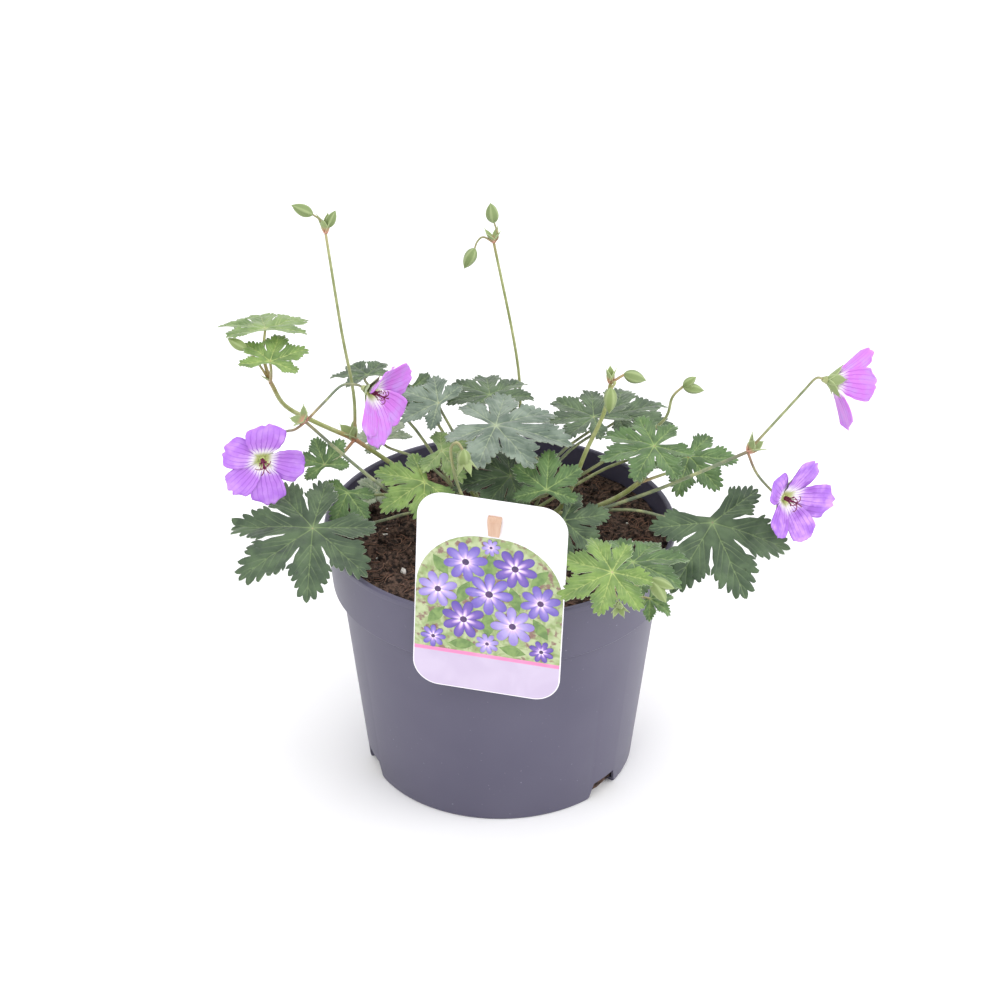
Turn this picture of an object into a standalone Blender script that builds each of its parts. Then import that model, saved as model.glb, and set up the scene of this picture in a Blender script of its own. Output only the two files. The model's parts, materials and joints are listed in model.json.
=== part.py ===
"""A hardy geranium growing in its nursery pot, with the plant label that hangs on a wooden peg.

Metres, +Z up. The origin is the middle of the pot's flat base, and -Y is the side with the label.
Sizes and places below are in millimetres; mesh_object() turns them into metres.
Each piece of the object is one closed solid with its own name and material.
"""

import math
import random
from collections import namedtuple

import bmesh
import bpy
from mathutils import Matrix, Vector, noise
from mathutils.geometry import delaunay_2d_cdt

MM = 0.001
GAP = 0.3

# Pot: a 17 cm nursery pot of two litres, with a collar round its rim
POT_HEIGHT = 130.0
POT_RIM_RADIUS = 85.0
POT_COLLAR_RADIUS = 81.4
POT_COLLAR_BOTTOM = 100.0
POT_BODY_TOP_RADIUS = 77.5
POT_BASE_RADIUS = 66.0
POT_WALL = 1.6
POT_LIP = 2.4
POT_SIDES = 42
SLOT_COUNT = 3
SLOT_FIRST_ANGLE = -40.0
SLOT_WIDTH = 21.0
SLOT_HEIGHT = 9.0
SLOT_DEPTH = 9.0

# Soil: level at the wall and a low mound round the crown of the plant
SOIL_LEVEL = 119.0
SOIL_MOUND = 3.0
SOIL_ROUGHNESS = 1.5
SOIL_SIDES = 26
SOIL_RINGS = 5
CROWN = Vector((-2.0, 14.0, 0.0))
ROOT_DEPTH = 9.0

# Label: a plastic card that hangs on a wooden peg and leans on the front of the rim
LABEL_WIDTH = 69.6
LABEL_HEIGHT = 103.7
LABEL_THICKNESS = 0.8
LABEL_CORNER = 12.5
LABEL_YAW = -12.5
LABEL_ROLL = 2.2
LABEL_FROM_AXIS = 86.3
LABEL_ASIDE = 14.1
LABEL_MIDDLE_HEIGHT = 141.5
PEG_WIDTH = 6.4
PEG_THICKNESS = 1.6
PEG_ASIDE = 1.3
PEG_HEIGHT_ON_LABEL = 43.0
PEG_DROP = 9.0
PEG_ROOT = Vector((-4.0, -58.0, 110.5))

# Leaf: a palmate blade of toothed lobes, drawn as shares of each lobe's length and half sector
BLADE_THICKNESS = 0.75
SINUS = 0.30
HALF_LOBE = ((0.52, 0.84), (0.75, 0.96), (0.73, 0.60), (0.90, 0.48))
HALF_LOBE_SMALL = ((0.52, 0.84), (0.76, 0.94), (0.82, 0.52))
SMALL_LEAF = 20.5
LOBE_PLANS = {
    7: (47.0, (1.0, 0.93, 0.86, 0.70)),
    5: (53.0, (1.0, 0.97, 0.74)),
}
PETIOLE_RADIUS = 1.0
PETIOLE_SIDES = 4

# Flower: five petals on a small disc, five sepals behind them, and a dark column in front
PETAL_TWIST = 0.9
PETAL_THICKNESS = 0.65
PETAL_ROWS = ((0.0, 0.18), (0.34, 0.55), (0.70, 1.0), (0.96, 0.66))
PETAL_COLUMNS = (-1.0, -0.4, 0.4, 1.0)
DISC_RADIUS = 2.4
DISC_THICKNESS = 1.6
SEPAL_LENGTH = 10.5
SEPAL_WIDTH = 4.2
FILAMENTS = 5

Leaf = namedtuple("Leaf", "name hub size heading tilt toward lobes root via")
Bloom = namedtuple("Bloom", "name base facing petals")
Petal = namedtuple("Petal", "angle opening length half_width")


def remove_everything():
    for obj in list(bpy.data.objects):
        bpy.data.objects.remove(obj)


def material(name, colour, roughness):
    made = bpy.data.materials.new(name)
    made.use_nodes = True
    shader = made.node_tree.nodes["Principled BSDF"]
    shader.inputs["Base Color"].default_value = (*colour, 1.0)
    shader.inputs["Roughness"].default_value = roughness
    shader.inputs["Metallic"].default_value = 0.0
    made.diffuse_color = (*colour, 1.0)
    return made


def mesh_object(name, points, faces, finish):
    """A mesh object from points in millimetres."""
    mesh = bpy.data.meshes.new(name)
    mesh.from_pydata([Vector(p) * MM for p in points], [], faces)
    mesh.materials.append(finish)
    obj = bpy.data.objects.new(name, mesh)
    bpy.context.scene.collection.objects.link(obj)
    return obj


def boolean(target, others, operation):
    """Joins the other objects to the target, or cuts them from it, and removes them."""
    helpers = bpy.data.collections.new("helpers")
    bpy.context.scene.collection.children.link(helpers)
    for other in others:
        helpers.objects.link(other)
    modifier = target.modifiers.new(operation.lower(), "BOOLEAN")
    modifier.operation = operation
    modifier.operand_type = "COLLECTION"
    modifier.collection = helpers
    modifier.solver = "EXACT"
    modifier.material_mode = "TRANSFER"
    graph = bpy.context.evaluated_depsgraph_get()
    result = bpy.data.meshes.new_from_object(target.evaluated_get(graph))
    target.modifiers.remove(modifier)
    target.data = result
    for other in others:
        bpy.data.objects.remove(other)
    bpy.data.collections.remove(helpers)
    return target


def joined(name, pieces):
    """One solid from overlapping closed pieces."""
    first, *rest = pieces
    if rest:
        boolean(first, rest, "UNION")
    first.name = name
    first.data.name = name
    return first


def smooth_shaded(obj, angle=35.0):
    obj.data.shade_smooth()
    obj.data.set_sharp_from_angle(angle=math.radians(angle))
    return obj


def lathe(name, profile, sides, finish):
    """A turned solid. The profile runs once round the section, both ends on the axis."""
    bm = bmesh.new()
    points = [bm.verts.new(Vector((r, 0.0, z)) * MM) for r, z in profile]
    edges = [bm.edges.new(pair) for pair in zip(points, points[1:])]
    bmesh.ops.spin(bm, geom=points + edges, axis=(0, 0, 1), cent=(0, 0, 0),
                   steps=sides, angle=2 * math.pi)
    bmesh.ops.remove_doubles(bm, verts=bm.verts, dist=0.01 * MM)
    bmesh.ops.recalc_face_normals(bm, faces=bm.faces)
    mesh = bpy.data.meshes.new(name)
    bm.to_mesh(mesh)
    bm.free()
    mesh.materials.append(finish)
    obj = bpy.data.objects.new(name, mesh)
    bpy.context.scene.collection.objects.link(obj)
    return obj


def smooth_path(points, per_span=4):
    """Points on a smooth curve that passes through all the given ones."""
    knots = [Vector(p) for p in points]
    ends = [2 * knots[0] - knots[1]] + knots + [2 * knots[-1] - knots[-2]]
    path = []
    for a, b, c, d in zip(ends, ends[1:], ends[2:], ends[3:]):
        for step in range(per_span):
            t = step / per_span
            path.append(0.5 * (2 * b + (c - a) * t + (2 * a - 5 * b + 4 * c - d) * t * t
                               + (3 * b - a - 3 * c + d) * t ** 3))
    return path + [knots[-1]]


def loft(name, rings, finish):
    """A closed solid through rings of equally many points, capped at both ends."""
    count = len(rings[0])
    points = [p for ring in rings for p in ring]
    faces = [tuple(reversed(range(count)))]
    for row in range(len(rings) - 1):
        for i in range(count):
            j = (i + 1) % count
            low, high = row * count, (row + 1) * count
            faces.append((low + i, low + j, high + j))
            faces.append((low + i, high + j, high + i))
    faces.append(tuple(range(len(points) - count, len(points))))
    return mesh_object(name, points, faces, finish)


def tube(path, start_radius, end_radius, finish, sides=PETIOLE_SIDES):
    """A round stem along a path, its section carried along without twist."""
    path = [Vector(p) for p in path]
    across = (path[1] - path[0]).orthogonal().normalized()
    rings = []
    for i, point in enumerate(path):
        along = (path[min(i + 1, len(path) - 1)] - path[max(i - 1, 0)]).normalized()
        across = (across - along * across.dot(along)).normalized()
        side = along.cross(across)
        radius = start_radius + (end_radius - start_radius) * i / (len(path) - 1)
        rings.append([point + radius * (math.cos(a) * across + math.sin(a) * side)
                      for a in (2 * math.pi * k / sides for k in range(sides))])
    return loft("tube", rings, finish)


def make_pot(finish):
    """The outside runs from the base to the collar and the lip, the inside back to the floor."""
    wall_foot = POT_BASE_RADIUS - POT_WALL
    profile = [
        (0.0, 0.0),
        (POT_BASE_RADIUS - 1.0, 0.0),
        (POT_BASE_RADIUS, 1.0),
        (POT_BODY_TOP_RADIUS, POT_COLLAR_BOTTOM - 1.0),
        (POT_COLLAR_RADIUS, POT_COLLAR_BOTTOM),
        (POT_RIM_RADIUS - 0.8, POT_HEIGHT - 3.2),
        (POT_RIM_RADIUS, POT_HEIGHT - 2.8),
        (POT_RIM_RADIUS, POT_HEIGHT - 0.6),
        (POT_RIM_RADIUS - 0.6, POT_HEIGHT),
        (POT_RIM_RADIUS - POT_LIP, POT_HEIGHT),
        (POT_COLLAR_RADIUS - POT_WALL, POT_COLLAR_BOTTOM + 2.0),
        (POT_BODY_TOP_RADIUS - POT_WALL, POT_COLLAR_BOTTOM - 0.5),
        (wall_foot + 0.3, POT_WALL + 0.4),
        (0.0, POT_WALL + 0.4),
    ]
    pot = lathe("pot", profile, POT_SIDES, finish)
    cutters = []
    for k in range(SLOT_COUNT):
        turn = Matrix.Rotation(math.radians(SLOT_FIRST_ANGLE + k * 360.0 / SLOT_COUNT), 4, "Z")
        half = SLOT_WIDTH / 2
        inner, outer = POT_BASE_RADIUS - SLOT_DEPTH, POT_BASE_RADIUS + 6.0
        section = ((-half, -1.0), (half, -1.0), (half - 3.0, SLOT_HEIGHT), (3.0 - half, SLOT_HEIGHT))
        rings = [[turn @ Vector((r, y, z)) for y, z in section] for r in (inner, outer)]
        cutters.append(loft("slot", rings, finish))
    return smooth_shaded(boolean(pot, cutters, "DIFFERENCE"), 30.0)


def soil_height(x, y):
    """Height of the potting soil: a mound round the crown, with crumbs."""
    from_crown = math.hypot(x - CROWN.x, y - CROWN.y)
    mound = SOIL_MOUND * math.exp(-((from_crown / 38.0) ** 2))
    crumbs = SOIL_ROUGHNESS * noise.noise(Vector((x, y, 0.0)) / 9.0)
    return SOIL_LEVEL + mound + crumbs


def pot_inner_radius(z):
    """Radius of the pot's inside at a height below the collar's step, or in the collar."""
    if z < POT_COLLAR_BOTTOM:
        share = z / POT_COLLAR_BOTTOM
        return POT_BASE_RADIUS + share * (POT_BODY_TOP_RADIUS - POT_BASE_RADIUS) - POT_WALL
    share = (z - POT_COLLAR_BOTTOM) / (POT_HEIGHT - POT_COLLAR_BOTTOM)
    return POT_COLLAR_RADIUS + share * (POT_RIM_RADIUS - POT_COLLAR_RADIUS) - POT_WALL


def make_soil(roots, finish):
    """The root ball: it fills the pot, and each stem stands in its own plain hole."""
    clear = 1.0
    top_radius = pot_inner_radius(SOIL_LEVEL) - clear
    neck = POT_BODY_TOP_RADIUS - POT_WALL - clear
    foot = POT_BASE_RADIUS - POT_WALL - clear
    angles = [2 * math.pi * k / SOIL_SIDES for k in range(SOIL_SIDES)]
    floor = POT_WALL + 0.4 + GAP
    levels = [(foot, floor), (neck, POT_COLLAR_BOTTOM - 2.0), (neck + 2.2, POT_COLLAR_BOTTOM + 3.0)]
    rings = [[Vector((r * math.cos(a), r * math.sin(a), z)) for a in angles] for r, z in levels]
    for row in range(SOIL_RINGS):
        radius = top_radius * (1.0 - row / SOIL_RINGS)
        rings.append([Vector((radius * math.cos(a + 0.1 * row), radius * math.sin(a + 0.1 * row), 0.0))
                      for a in angles])
        for p in rings[-1]:
            p.z = soil_height(p.x, p.y)
    soil = loft("soil", rings, finish)
    holes = []
    for x, y, radius in roots:
        bottom = SOIL_LEVEL - ROOT_DEPTH - GAP
        path = [Vector((x, y, bottom)), Vector((x, y, SOIL_LEVEL + 9.0))]
        wide = (radius + GAP) / math.cos(math.pi / 5)
        holes.append(tube(path, wide, wide, finish, 5))
    return boolean(soil, holes, "DIFFERENCE")


def label_matrix():
    """The card's own frame, from its middle: X to its right, Y through it to the back, Z up."""
    turn = Matrix.Rotation(math.radians(LABEL_YAW), 4, "Z")
    place = turn @ Vector((LABEL_ASIDE, -LABEL_FROM_AXIS, LABEL_MIDDLE_HEIGHT))
    return Matrix.Translation(place) @ turn @ Matrix.Rotation(math.radians(LABEL_ROLL), 4, "Y")


def rounded_card(width, height, corner, steps=5):
    """Outline of a card with round corners, from its middle."""
    outline = []
    for cx, cz, first in ((1, 1, 0), (-1, 1, 90), (-1, -1, 180), (1, -1, 270)):
        centre = (cx * (width / 2 - corner), cz * (height / 2 - corner))
        for step in range(steps + 1):
            a = math.radians(first + 90.0 * step / steps)
            outline.append((centre[0] + corner * math.cos(a), centre[1] + corner * math.sin(a)))
    return outline


def make_label(finish):
    matrix = label_matrix()
    outline = rounded_card(LABEL_WIDTH, LABEL_HEIGHT, LABEL_CORNER)
    faces = (LABEL_THICKNESS / 2, -LABEL_THICKNESS / 2)
    rings = [[matrix @ Vector((x, y, z)) for x, z in outline] for y in faces]
    card = loft("label", rings, finish)
    half_width, half_height = PEG_WIDTH / 2 + GAP, PEG_THICKNESS / 2 + GAP
    corners = [(-1, -1), (1, -1), (1, 1), (-1, 1)]
    rings = [[matrix @ Vector((PEG_ASIDE + cx * half_width, y, PEG_HEIGHT_ON_LABEL + cz * half_height))
              for cx, cz in corners] for y in (4.0, -4.0)]
    return boolean(card, [loft("slot", rings, finish)], "DIFFERENCE")


def make_peg(finish):
    """A flat peg: upright in the soil, through the label's slot, then down over its face."""
    matrix = label_matrix()
    width = matrix.to_3x3() @ Vector((1.0, 0.0, 0.0))
    front = -LABEL_THICKNESS / 2 - GAP - PEG_THICKNESS / 2
    on_label = [(9.0, 0.0), (0.0, 0.0), (front + 0.2, -0.1), (front - 0.5, -1.6), (front, -PEG_DROP)]
    path = [PEG_ROOT, PEG_ROOT + Vector((0.0, 0.0, 24.0))]
    path += [matrix @ Vector((PEG_ASIDE, 17.0, PEG_HEIGHT_ON_LABEL - 14.0))]
    path += [matrix @ Vector((PEG_ASIDE, y, PEG_HEIGHT_ON_LABEL + z)) for y, z in on_label]
    rings = []
    for i, point in enumerate(path):
        before = (point - path[max(i - 1, 0)]).normalized()
        after = (path[min(i + 1, len(path) - 1)] - point).normalized()
        along = (before + after).normalized()
        thick = along.cross(width).normalized()
        mitre = 1.0 / max(before.dot(after), 0.2) ** 0.5 if before.length and after.length else 1.0
        share = 0.8 if i == len(path) - 1 else 1.0
        w = width * PEG_WIDTH / 2 * share
        t = thick * PEG_THICKNESS / 2 * min(mitre, 1.3)
        rings.append([point - w - t, point + w - t, point + w + t, point - w + t])
    return loft("label_peg", rings, finish)


def lobe_axes(lobes):
    """Angle and relative length of each lobe, from the last on one side to the last on the other."""
    spacing, lengths = LOBE_PLANS[lobes]
    last = len(lengths) - 1
    return spacing, [(k * spacing, lengths[abs(k)]) for k in range(-last, last + 1)]


def leaf_outline(size, lobes):
    """The blade's edge, counter-clockwise, with the central lobe along +X and the hub at 0."""
    spacing, axes = lobe_axes(lobes)
    half = spacing / 2
    half_lobe = HALF_LOBE if size > SMALL_LEAF else HALF_LOBE_SMALL

    def polar(share, angle):
        a = math.radians(angle)
        return Vector((share * size * math.cos(a), share * size * math.sin(a)))

    edge = [polar(0.20, axes[0][0] - half)]
    for k, (axis, length) in enumerate(axes):
        edge += [polar(rho * length, axis - phi * half) for rho, phi in half_lobe]
        edge.append(polar(length, axis))
        edge += [polar(rho * length, axis + phi * half) for rho, phi in reversed(half_lobe)]
        if k < len(axes) - 1:
            edge.append(polar(SINUS * min(length, axes[k + 1][1]), axis + half))
    edge.append(polar(0.20, axes[-1][0] + half))
    edge.append(polar(0.07, 180.0))
    return edge


def blade_height(x, y, size, lobes, cup, wave, phase):
    """Shape of the blade out of its plane: arched, waved, and channelled along each lobe."""
    spacing, axes = lobe_axes(lobes)
    r = math.hypot(x, y) / size
    angle = math.degrees(math.atan2(y, x))
    off_axis = min(abs(angle - axis) for axis, _ in axes) / (spacing / 2)
    channel = 0.10 * r * min(off_axis, 1.0)
    return size * (channel - cup * r * r + wave * r * r * math.sin(math.radians(3 * angle) + phase))


def leaf_matrix(leaf):
    """The hub's frame: X along the central lobe, and Z out of the face, which leans one way."""
    lean = Matrix.Rotation(math.radians(leaf.toward), 4, "Z")
    tilt = Matrix.Rotation(math.radians(leaf.tilt), 4, "Y")
    heading = Matrix.Rotation(math.radians(leaf.heading - leaf.toward), 4, "Z")
    return Matrix.Translation(Vector(leaf.hub)) @ lean @ tilt @ heading


def leaf_blade(leaf, finish):
    draw = random.Random(leaf.name)
    cup, wave, phase = draw.uniform(0.05, 0.16), draw.uniform(0.03, 0.07), draw.uniform(0, 6.3)
    edge = leaf_outline(leaf.size, leaf.lobes)
    _, axes = lobe_axes(leaf.lobes)
    inner = [Vector((0.0, 0.0))]
    for axis, length in axes:
        a = math.radians(axis)
        inner.append(Vector((math.cos(a), math.sin(a))) * 0.55 * length * leaf.size)
    loop = [(i, (i + 1) % len(edge)) for i in range(len(edge))]
    flat, _, triangles, *_ = delaunay_2d_cdt(edge + inner, loop, [], 1, 1e-6)
    matrix = leaf_matrix(leaf)
    count = len(flat)
    points = []
    for side in (1, -1):
        for p in flat:
            z = blade_height(p.x, p.y, leaf.size, leaf.lobes, cup, wave, phase)
            points.append(matrix @ Vector((p.x, p.y, z + side * BLADE_THICKNESS / 2)))
    faces = [tuple(t) for t in triangles]
    faces += [tuple(count + i for i in reversed(t)) for t in triangles]
    bounds = {}
    for t in triangles:
        for a, b in zip(t, t[1:] + t[:1]):
            bounds[(a, b)] = bounds.get((a, b), 0) + 1
    for a, b in bounds:
        if (b, a) not in bounds:
            faces.append((b, a, count + a))
            faces.append((b, count + a, count + b))
    return mesh_object("blade", points, faces, finish)


def root_place(hub, ring):
    """Where a stem leaves the soil: on one of the crown's rings, on the side of its leaf."""
    outward = Vector((hub[0], hub[1], 0.0)) - CROWN
    outward.normalize()
    return CROWN + outward * (5.0 + 4.5 * ring)


def petiole_path(leaf):
    """From the soil to the hub, which it meets from below."""
    matrix = leaf_matrix(leaf).to_3x3()
    hub = Vector(leaf.hub)
    top = hub + matrix @ Vector((0.0, 0.0, 0.7))
    under = hub + matrix @ Vector((-0.05 * leaf.size, 0.0, -5.0))
    root = leaf.root if isinstance(leaf.root, Vector) else root_place(leaf.hub, leaf.root)
    start = Vector((root.x, root.y, SOIL_LEVEL - ROOT_DEPTH))
    collar = Vector((root.x, root.y, SOIL_LEVEL + 5.0))
    via = [Vector(p) for p in leaf.via]
    if not via:
        via = [collar.lerp(under, 0.5) + Vector((0.0, 0.0, 0.12 * (under - collar).length))]
    return [start] + smooth_path([collar] + via + [under, top], 2)


def leaf_pieces(leaf, blade_finish, from_soil=True):
    pieces = [leaf_blade(leaf, blade_finish)]
    if from_soil:
        pieces.append(tube(petiole_path(leaf), PETIOLE_RADIUS + 0.2, PETIOLE_RADIUS - 0.1, blade_finish))
    return pieces


def whorl(root, along, count, length, width, spread, finish, spin=0.0, thickness=0.7):
    """A ring of small pointed blades, such as bracts or sepals, as one star-shaped solid."""
    along = Vector(along).normalized()
    across = Matrix.Rotation(spin, 3, along) @ along.orthogonal().normalized()
    side = along.cross(across)
    lean = math.radians(spread)
    sector = math.pi / count
    middle = 0.5 * length
    half = min(width / 2, 0.9 * middle * math.sin(lean) * math.tan(sector))
    outline = []
    for k in range(count):
        a = 2 * sector * k
        outline += [(0.22 * length, 0.0, a - sector), (middle, -half, a), (length, 0.0, a), (middle, half, a)]
    points = []
    for lift in (0.5, -0.5):
        up = lift * thickness / math.sin(lean)
        points.append(Vector(root) + along * up)
        for reach, aside, angle in outline:
            out = across * math.cos(angle) + side * math.sin(angle)
            tangent = side * math.cos(angle) - across * math.sin(angle)
            height = reach * math.cos(lean) + up
            points.append(Vector(root) + out * reach * math.sin(lean) + tangent * aside + along * height)
    size = len(outline) + 1
    faces = []
    for k in range(count):
        valley, left, tip, right = (1 + 4 * k + i for i in range(4))
        after = 1 + (4 * k + 4) % len(outline)
        for face in ((0, valley, left), (0, left, right), (left, tip, right), (0, right, after)):
            faces.append(face)
            faces.append(tuple(size + i for i in reversed(face)))
    for i in range(1, size):
        j = 1 + i % len(outline)
        faces.append((size + i, size + j, j))
        faces.append((size + i, j, i))
    return mesh_object("whorl", points, faces, finish)


def bud(root, along, length, width, finish):
    """A closed bud with a short point, ridged where its sepals meet."""
    along = Vector(along).normalized()
    across = along.orthogonal().normalized()
    side = along.cross(across)
    rings = []
    for t, share in ((0.0, 0.36), (0.26, 0.98), (0.66, 0.82), (1.0, 0.09)):
        ring = []
        for k in range(6):
            a = 2 * math.pi * k / 6
            r = width / 2 * share * (1.0 if k % 2 else 0.90)
            ring.append(Vector(root) + along * length * t + r * (math.cos(a) * across + math.sin(a) * side))
        rings.append(ring)
    return loft("bud", rings, finish)


def bracts(fork, along, count, length, finish, spread=45.0, spin=0.0):
    """The ring of bracts at a fork."""
    return [whorl(fork, along, count, length, 0.45 * length, spread, finish, spin)]


def bloom_frame(bloom):
    """Z along the way the bloom faces, X level, and Y down."""
    z = Vector(bloom.facing).normalized()
    x = z.cross(Vector((0.0, 0.0, 1.0))).normalized()
    frame = Matrix((x, z.cross(x), z)).transposed().to_4x4()
    return Matrix.Translation(Vector(bloom.base)) @ frame


def petal_point(shape, t, v, lift):
    """A point of a petal along +X: t from claw to tip, v across it, lift along the bloom's axis."""
    opening = math.radians(shape.opening)
    bend = math.radians(26.0)
    start = opening + bend * 0.5
    angle = start - bend * t
    reach = shape.length * t
    mean = start - bend * t / 2
    x = 1.2 + reach * math.cos(mean)
    z = reach * math.sin(mean)
    sideways = v * shape.half_width
    bow = 0.10 * abs(sideways) * (1.0 - t) + PETAL_TWIST * v
    notch = -0.05 * shape.length * (1.0 - abs(v)) if t > 0.9 else 0.0
    x += notch * math.cos(angle)
    return Vector((x - bow * math.sin(angle), sideways, z + bow * math.cos(angle) + notch * math.sin(angle) + lift))


def petal(shape, frame, finish):
    """One petal as a thin curved blade, its claw sunk in the disc."""
    turn = Matrix.Rotation(math.radians(shape.angle), 4, "Z")
    rows, columns = len(PETAL_ROWS), len(PETAL_COLUMNS)
    points = []
    for side in (1, -1):
        for t, width in PETAL_ROWS:
            for v in PETAL_COLUMNS:
                lift = side * PETAL_THICKNESS / 2
                rounding = -0.10 * v * v if t > 0.9 else 0.0
                points.append(frame @ turn @ petal_point(shape, t + rounding, v * width, lift))
    count = rows * columns
    faces = []
    for row in range(rows - 1):
        for column in range(columns - 1):
            a = row * columns + column
            b, c, d = a + 1, a + columns, a + columns + 1
            for one, two, three in ((a, c, d), (a, d, b)):
                faces.append((one, two, three))
                faces.append((count + three, count + two, count + one))
    ring = [column for column in range(columns)]
    ring += [row * columns + columns - 1 for row in range(1, rows)]
    ring += [(rows - 1) * columns + column for column in range(columns - 2, -1, -1)]
    ring += [row * columns for row in range(rows - 2, 0, -1)]
    for i, a in enumerate(ring):
        b = ring[(i + 1) % len(ring)]
        faces.append((a, b, count + b))
        faces.append((a, count + b, count + a))
    return mesh_object("petal", points, faces, finish)


def disc(frame, low, high, radius, finish, sides=10):
    rings = [[frame @ Vector((radius * math.cos(a), radius * math.sin(a), z))
              for a in (2 * math.pi * k / sides for k in range(sides))] for z in (low, high)]
    return loft("disc", rings, finish)


def make_petals(bloom, finish):
    frame = bloom_frame(bloom)
    pieces = [disc(frame, -DISC_THICKNESS / 2, DISC_THICKNESS / 2, DISC_RADIUS, finish)]
    pieces += [petal(shape, frame, finish) for shape in bloom.petals]
    return joined(bloom.name + "_petals", pieces)


def make_column(bloom, finish):
    """The style with its split tip, and the filaments that curve out round it."""
    frame = bloom_frame(bloom)
    foot = DISC_THICKNESS / 2 + GAP
    pieces = [disc(frame, foot, foot + 1.0, 1.7, finish, 6)]
    style = [frame @ Vector((0.0, 0.0, foot + z)) for z in (0.5, 4.0, 8.5)]
    pieces.append(tube(style, 0.75, 0.40, finish, 5))
    for k in range(FILAMENTS):
        turn = Matrix.Rotation(2 * math.pi * (k + 0.5) / FILAMENTS, 4, "Z")
        path = [frame @ turn @ Vector((x, 0.0, foot + z)) for x, z in ((0.9, 0.4), (1.7, 3.8), (4.0, 6.2))]
        pieces.append(tube(path, 0.45, 0.30, finish, 4))
    return joined(bloom.name + "_column", pieces)


def calyx_root(bloom):
    """Lean of the sepals, and how far behind the disc they meet so that they pass it clear."""
    lean = math.radians(max(min(shape.opening for shape in bloom.petals) - 8.0, 2.0))
    return lean, -DISC_THICKNESS / 2 - GAP - 0.4 - DISC_RADIUS * math.tan(lean)


def calyx(bloom, finish):
    """The five sepals behind the petals, on a small cup that ends the flower's stalk."""
    frame = bloom_frame(bloom)
    lean, back = calyx_root(bloom)
    axis = frame.to_3x3() @ Vector((0.0, 0.0, 1.0))
    first = frame.to_3x3() @ Vector((math.cos(math.pi / 5), math.sin(math.pi / 5), 0.0))
    zero = axis.orthogonal().normalized()
    spin = math.atan2(axis.dot(zero.cross(first)), zero.dot(first))
    root = frame @ Vector((0.0, 0.0, back))
    return [
        disc(frame, back - 1.6, back + 0.2, 1.7, finish, 6),
        whorl(root, axis, 5, SEPAL_LENGTH, SEPAL_WIDTH, 90.0 - math.degrees(lean), finish, spin),
    ]


def stalk_end(bloom):
    """Where the flower's stalk meets the calyx, and the point just behind it."""
    frame = bloom_frame(bloom)
    _, back = calyx_root(bloom)
    return [frame @ Vector((0.0, 0.0, back - 5.0)), frame @ Vector((0.0, 0.0, back - 0.7))]


BLOOMS = {
    "left": Bloom("bloom_left", (-111.5, -22, 177), (0.2, -0.97, 0.0), (
        Petal(96, 12, 22, 8.2), Petal(168, 12, 19.6, 8.8), Petal(263, 12, 20, 9.6), Petal(332, 12, 20, 8),
        Petal(39, 12, 20.5, 7.4))),
    "upper": Bloom("bloom_upper", (-61, -12, 208), (0.82, -0.55, -0.12), (
        Petal(80, 26, 26.5, 8.8), Petal(126, 26, 24, 8.6), Petal(192, 26, 22, 9.8), Petal(278, 36, 19, 8),
        Petal(40, 32, 23, 8))),
    "far": Bloom("bloom_far", (154, -11, 212.7), (0.912, 0.22, -0.29), (
        Petal(60, 31, 24, 8.4), Petal(150, 42, 20, 6), Petal(240, 56, 18, 5.5), Petal(332, 40, 23, 7.8),
        Petal(263, 42, 23.5, 6))),
    "right": Bloom("bloom_right", (134.6, -17, 153.2), (0.62, -0.77, 0.08), (
        Petal(105, 24, 23.5, 7), Petal(163, 22, 25.5, 8.6), Petal(236, 24, 22.5, 7.8), Petal(311, 20, 18.5, 7.8),
        Petal(31, 34, 22.5, 6.5))),
}

# Leaves that rise from the crown on stalks of their own
BASAL_LEAVES = [
    Leaf("leaf_front_left", (-88, -35, 147), 45, 221, 20, -90, 7, 3,
         ((-27, 6, 127), (-41, 8, 130), (-60, -8, 134))),
    Leaf("leaf_right", (101, -20, 141), 42, -65, 38, -80, 5, Vector((24.0, 5.5, 0.0)),
         ((38, 8, 130), (54, 2, 135), (67, -4, 138), (84, -12, 138))),
    Leaf("leaf_front_right", (62, -51, 138), 29, 14, 2, -90, 7, 4,
         ((40, -12, 128), (54, -32, 130))),
    Leaf("leaf_centre_high", (-2, 10, 177), 39, -12, 5, -60, 7, -1, ((17, 7, 134), (18, 7, 160))),
    Leaf("leaf_back", (-5, 52, 171), 27, 95, 3, -90, 7, 1, ()),
    Leaf("leaf_back_centre", (46, 46, 162), 28, 138, 4, -90, 7, 2, ()),
    Leaf("leaf_back_right", (58, 62, 155), 31, 30, 2, -90, 5, 3, ()),
    Leaf("leaf_back_left", (-30, 38, 174), 22, 150, 22, -100, 5, 1, ()),
    Leaf("leaf_left_high", (-28, 14, 161), 26, -12, 4, -90, 5, 0, ()),
    Leaf("leaf_left_low", (-36, -4, 154), 27, 215, 24, -90, 5, 1, ()),
    Leaf("leaf_centre_low", (5, 4, 153), 29, 190, 18, -90, 7, 0, ()),
    Leaf("leaf_centre_front", (22, -18, 158), 22, 85, 42, -95, 5, 1.2, ()),
    Leaf("leaf_centre_under", (30, -20, 142), 25, -42, 30, -90, 5, 2.2, ((18, -7, 129),)),
    Leaf("leaf_right_high", (74, 10, 166), 30, 200, 9, -90, 7, 2, ((44, 22, 142), (60, 16, 154))),
    Leaf("leaf_far_left", (-65, 52, 182), 20, 120, -2, -90, 5, 3, ()),
    Leaf("leaf_far_centre", (-43, 60, 171), 16, -60, 48, -70, 5, 2, ()),
    Leaf("leaf_left_under", (-73, -4, 148), 19, 250, 26, -90, 5, 2, ()),
    Leaf("leaf_back_low", (-57, 62, 141), 19, 120, 12, -90, 5, 3, ()),
    Leaf("leaf_old_low", (-60, 22, 134), 14, 190, 14, -60, 5, 2, ()),
]


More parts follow.
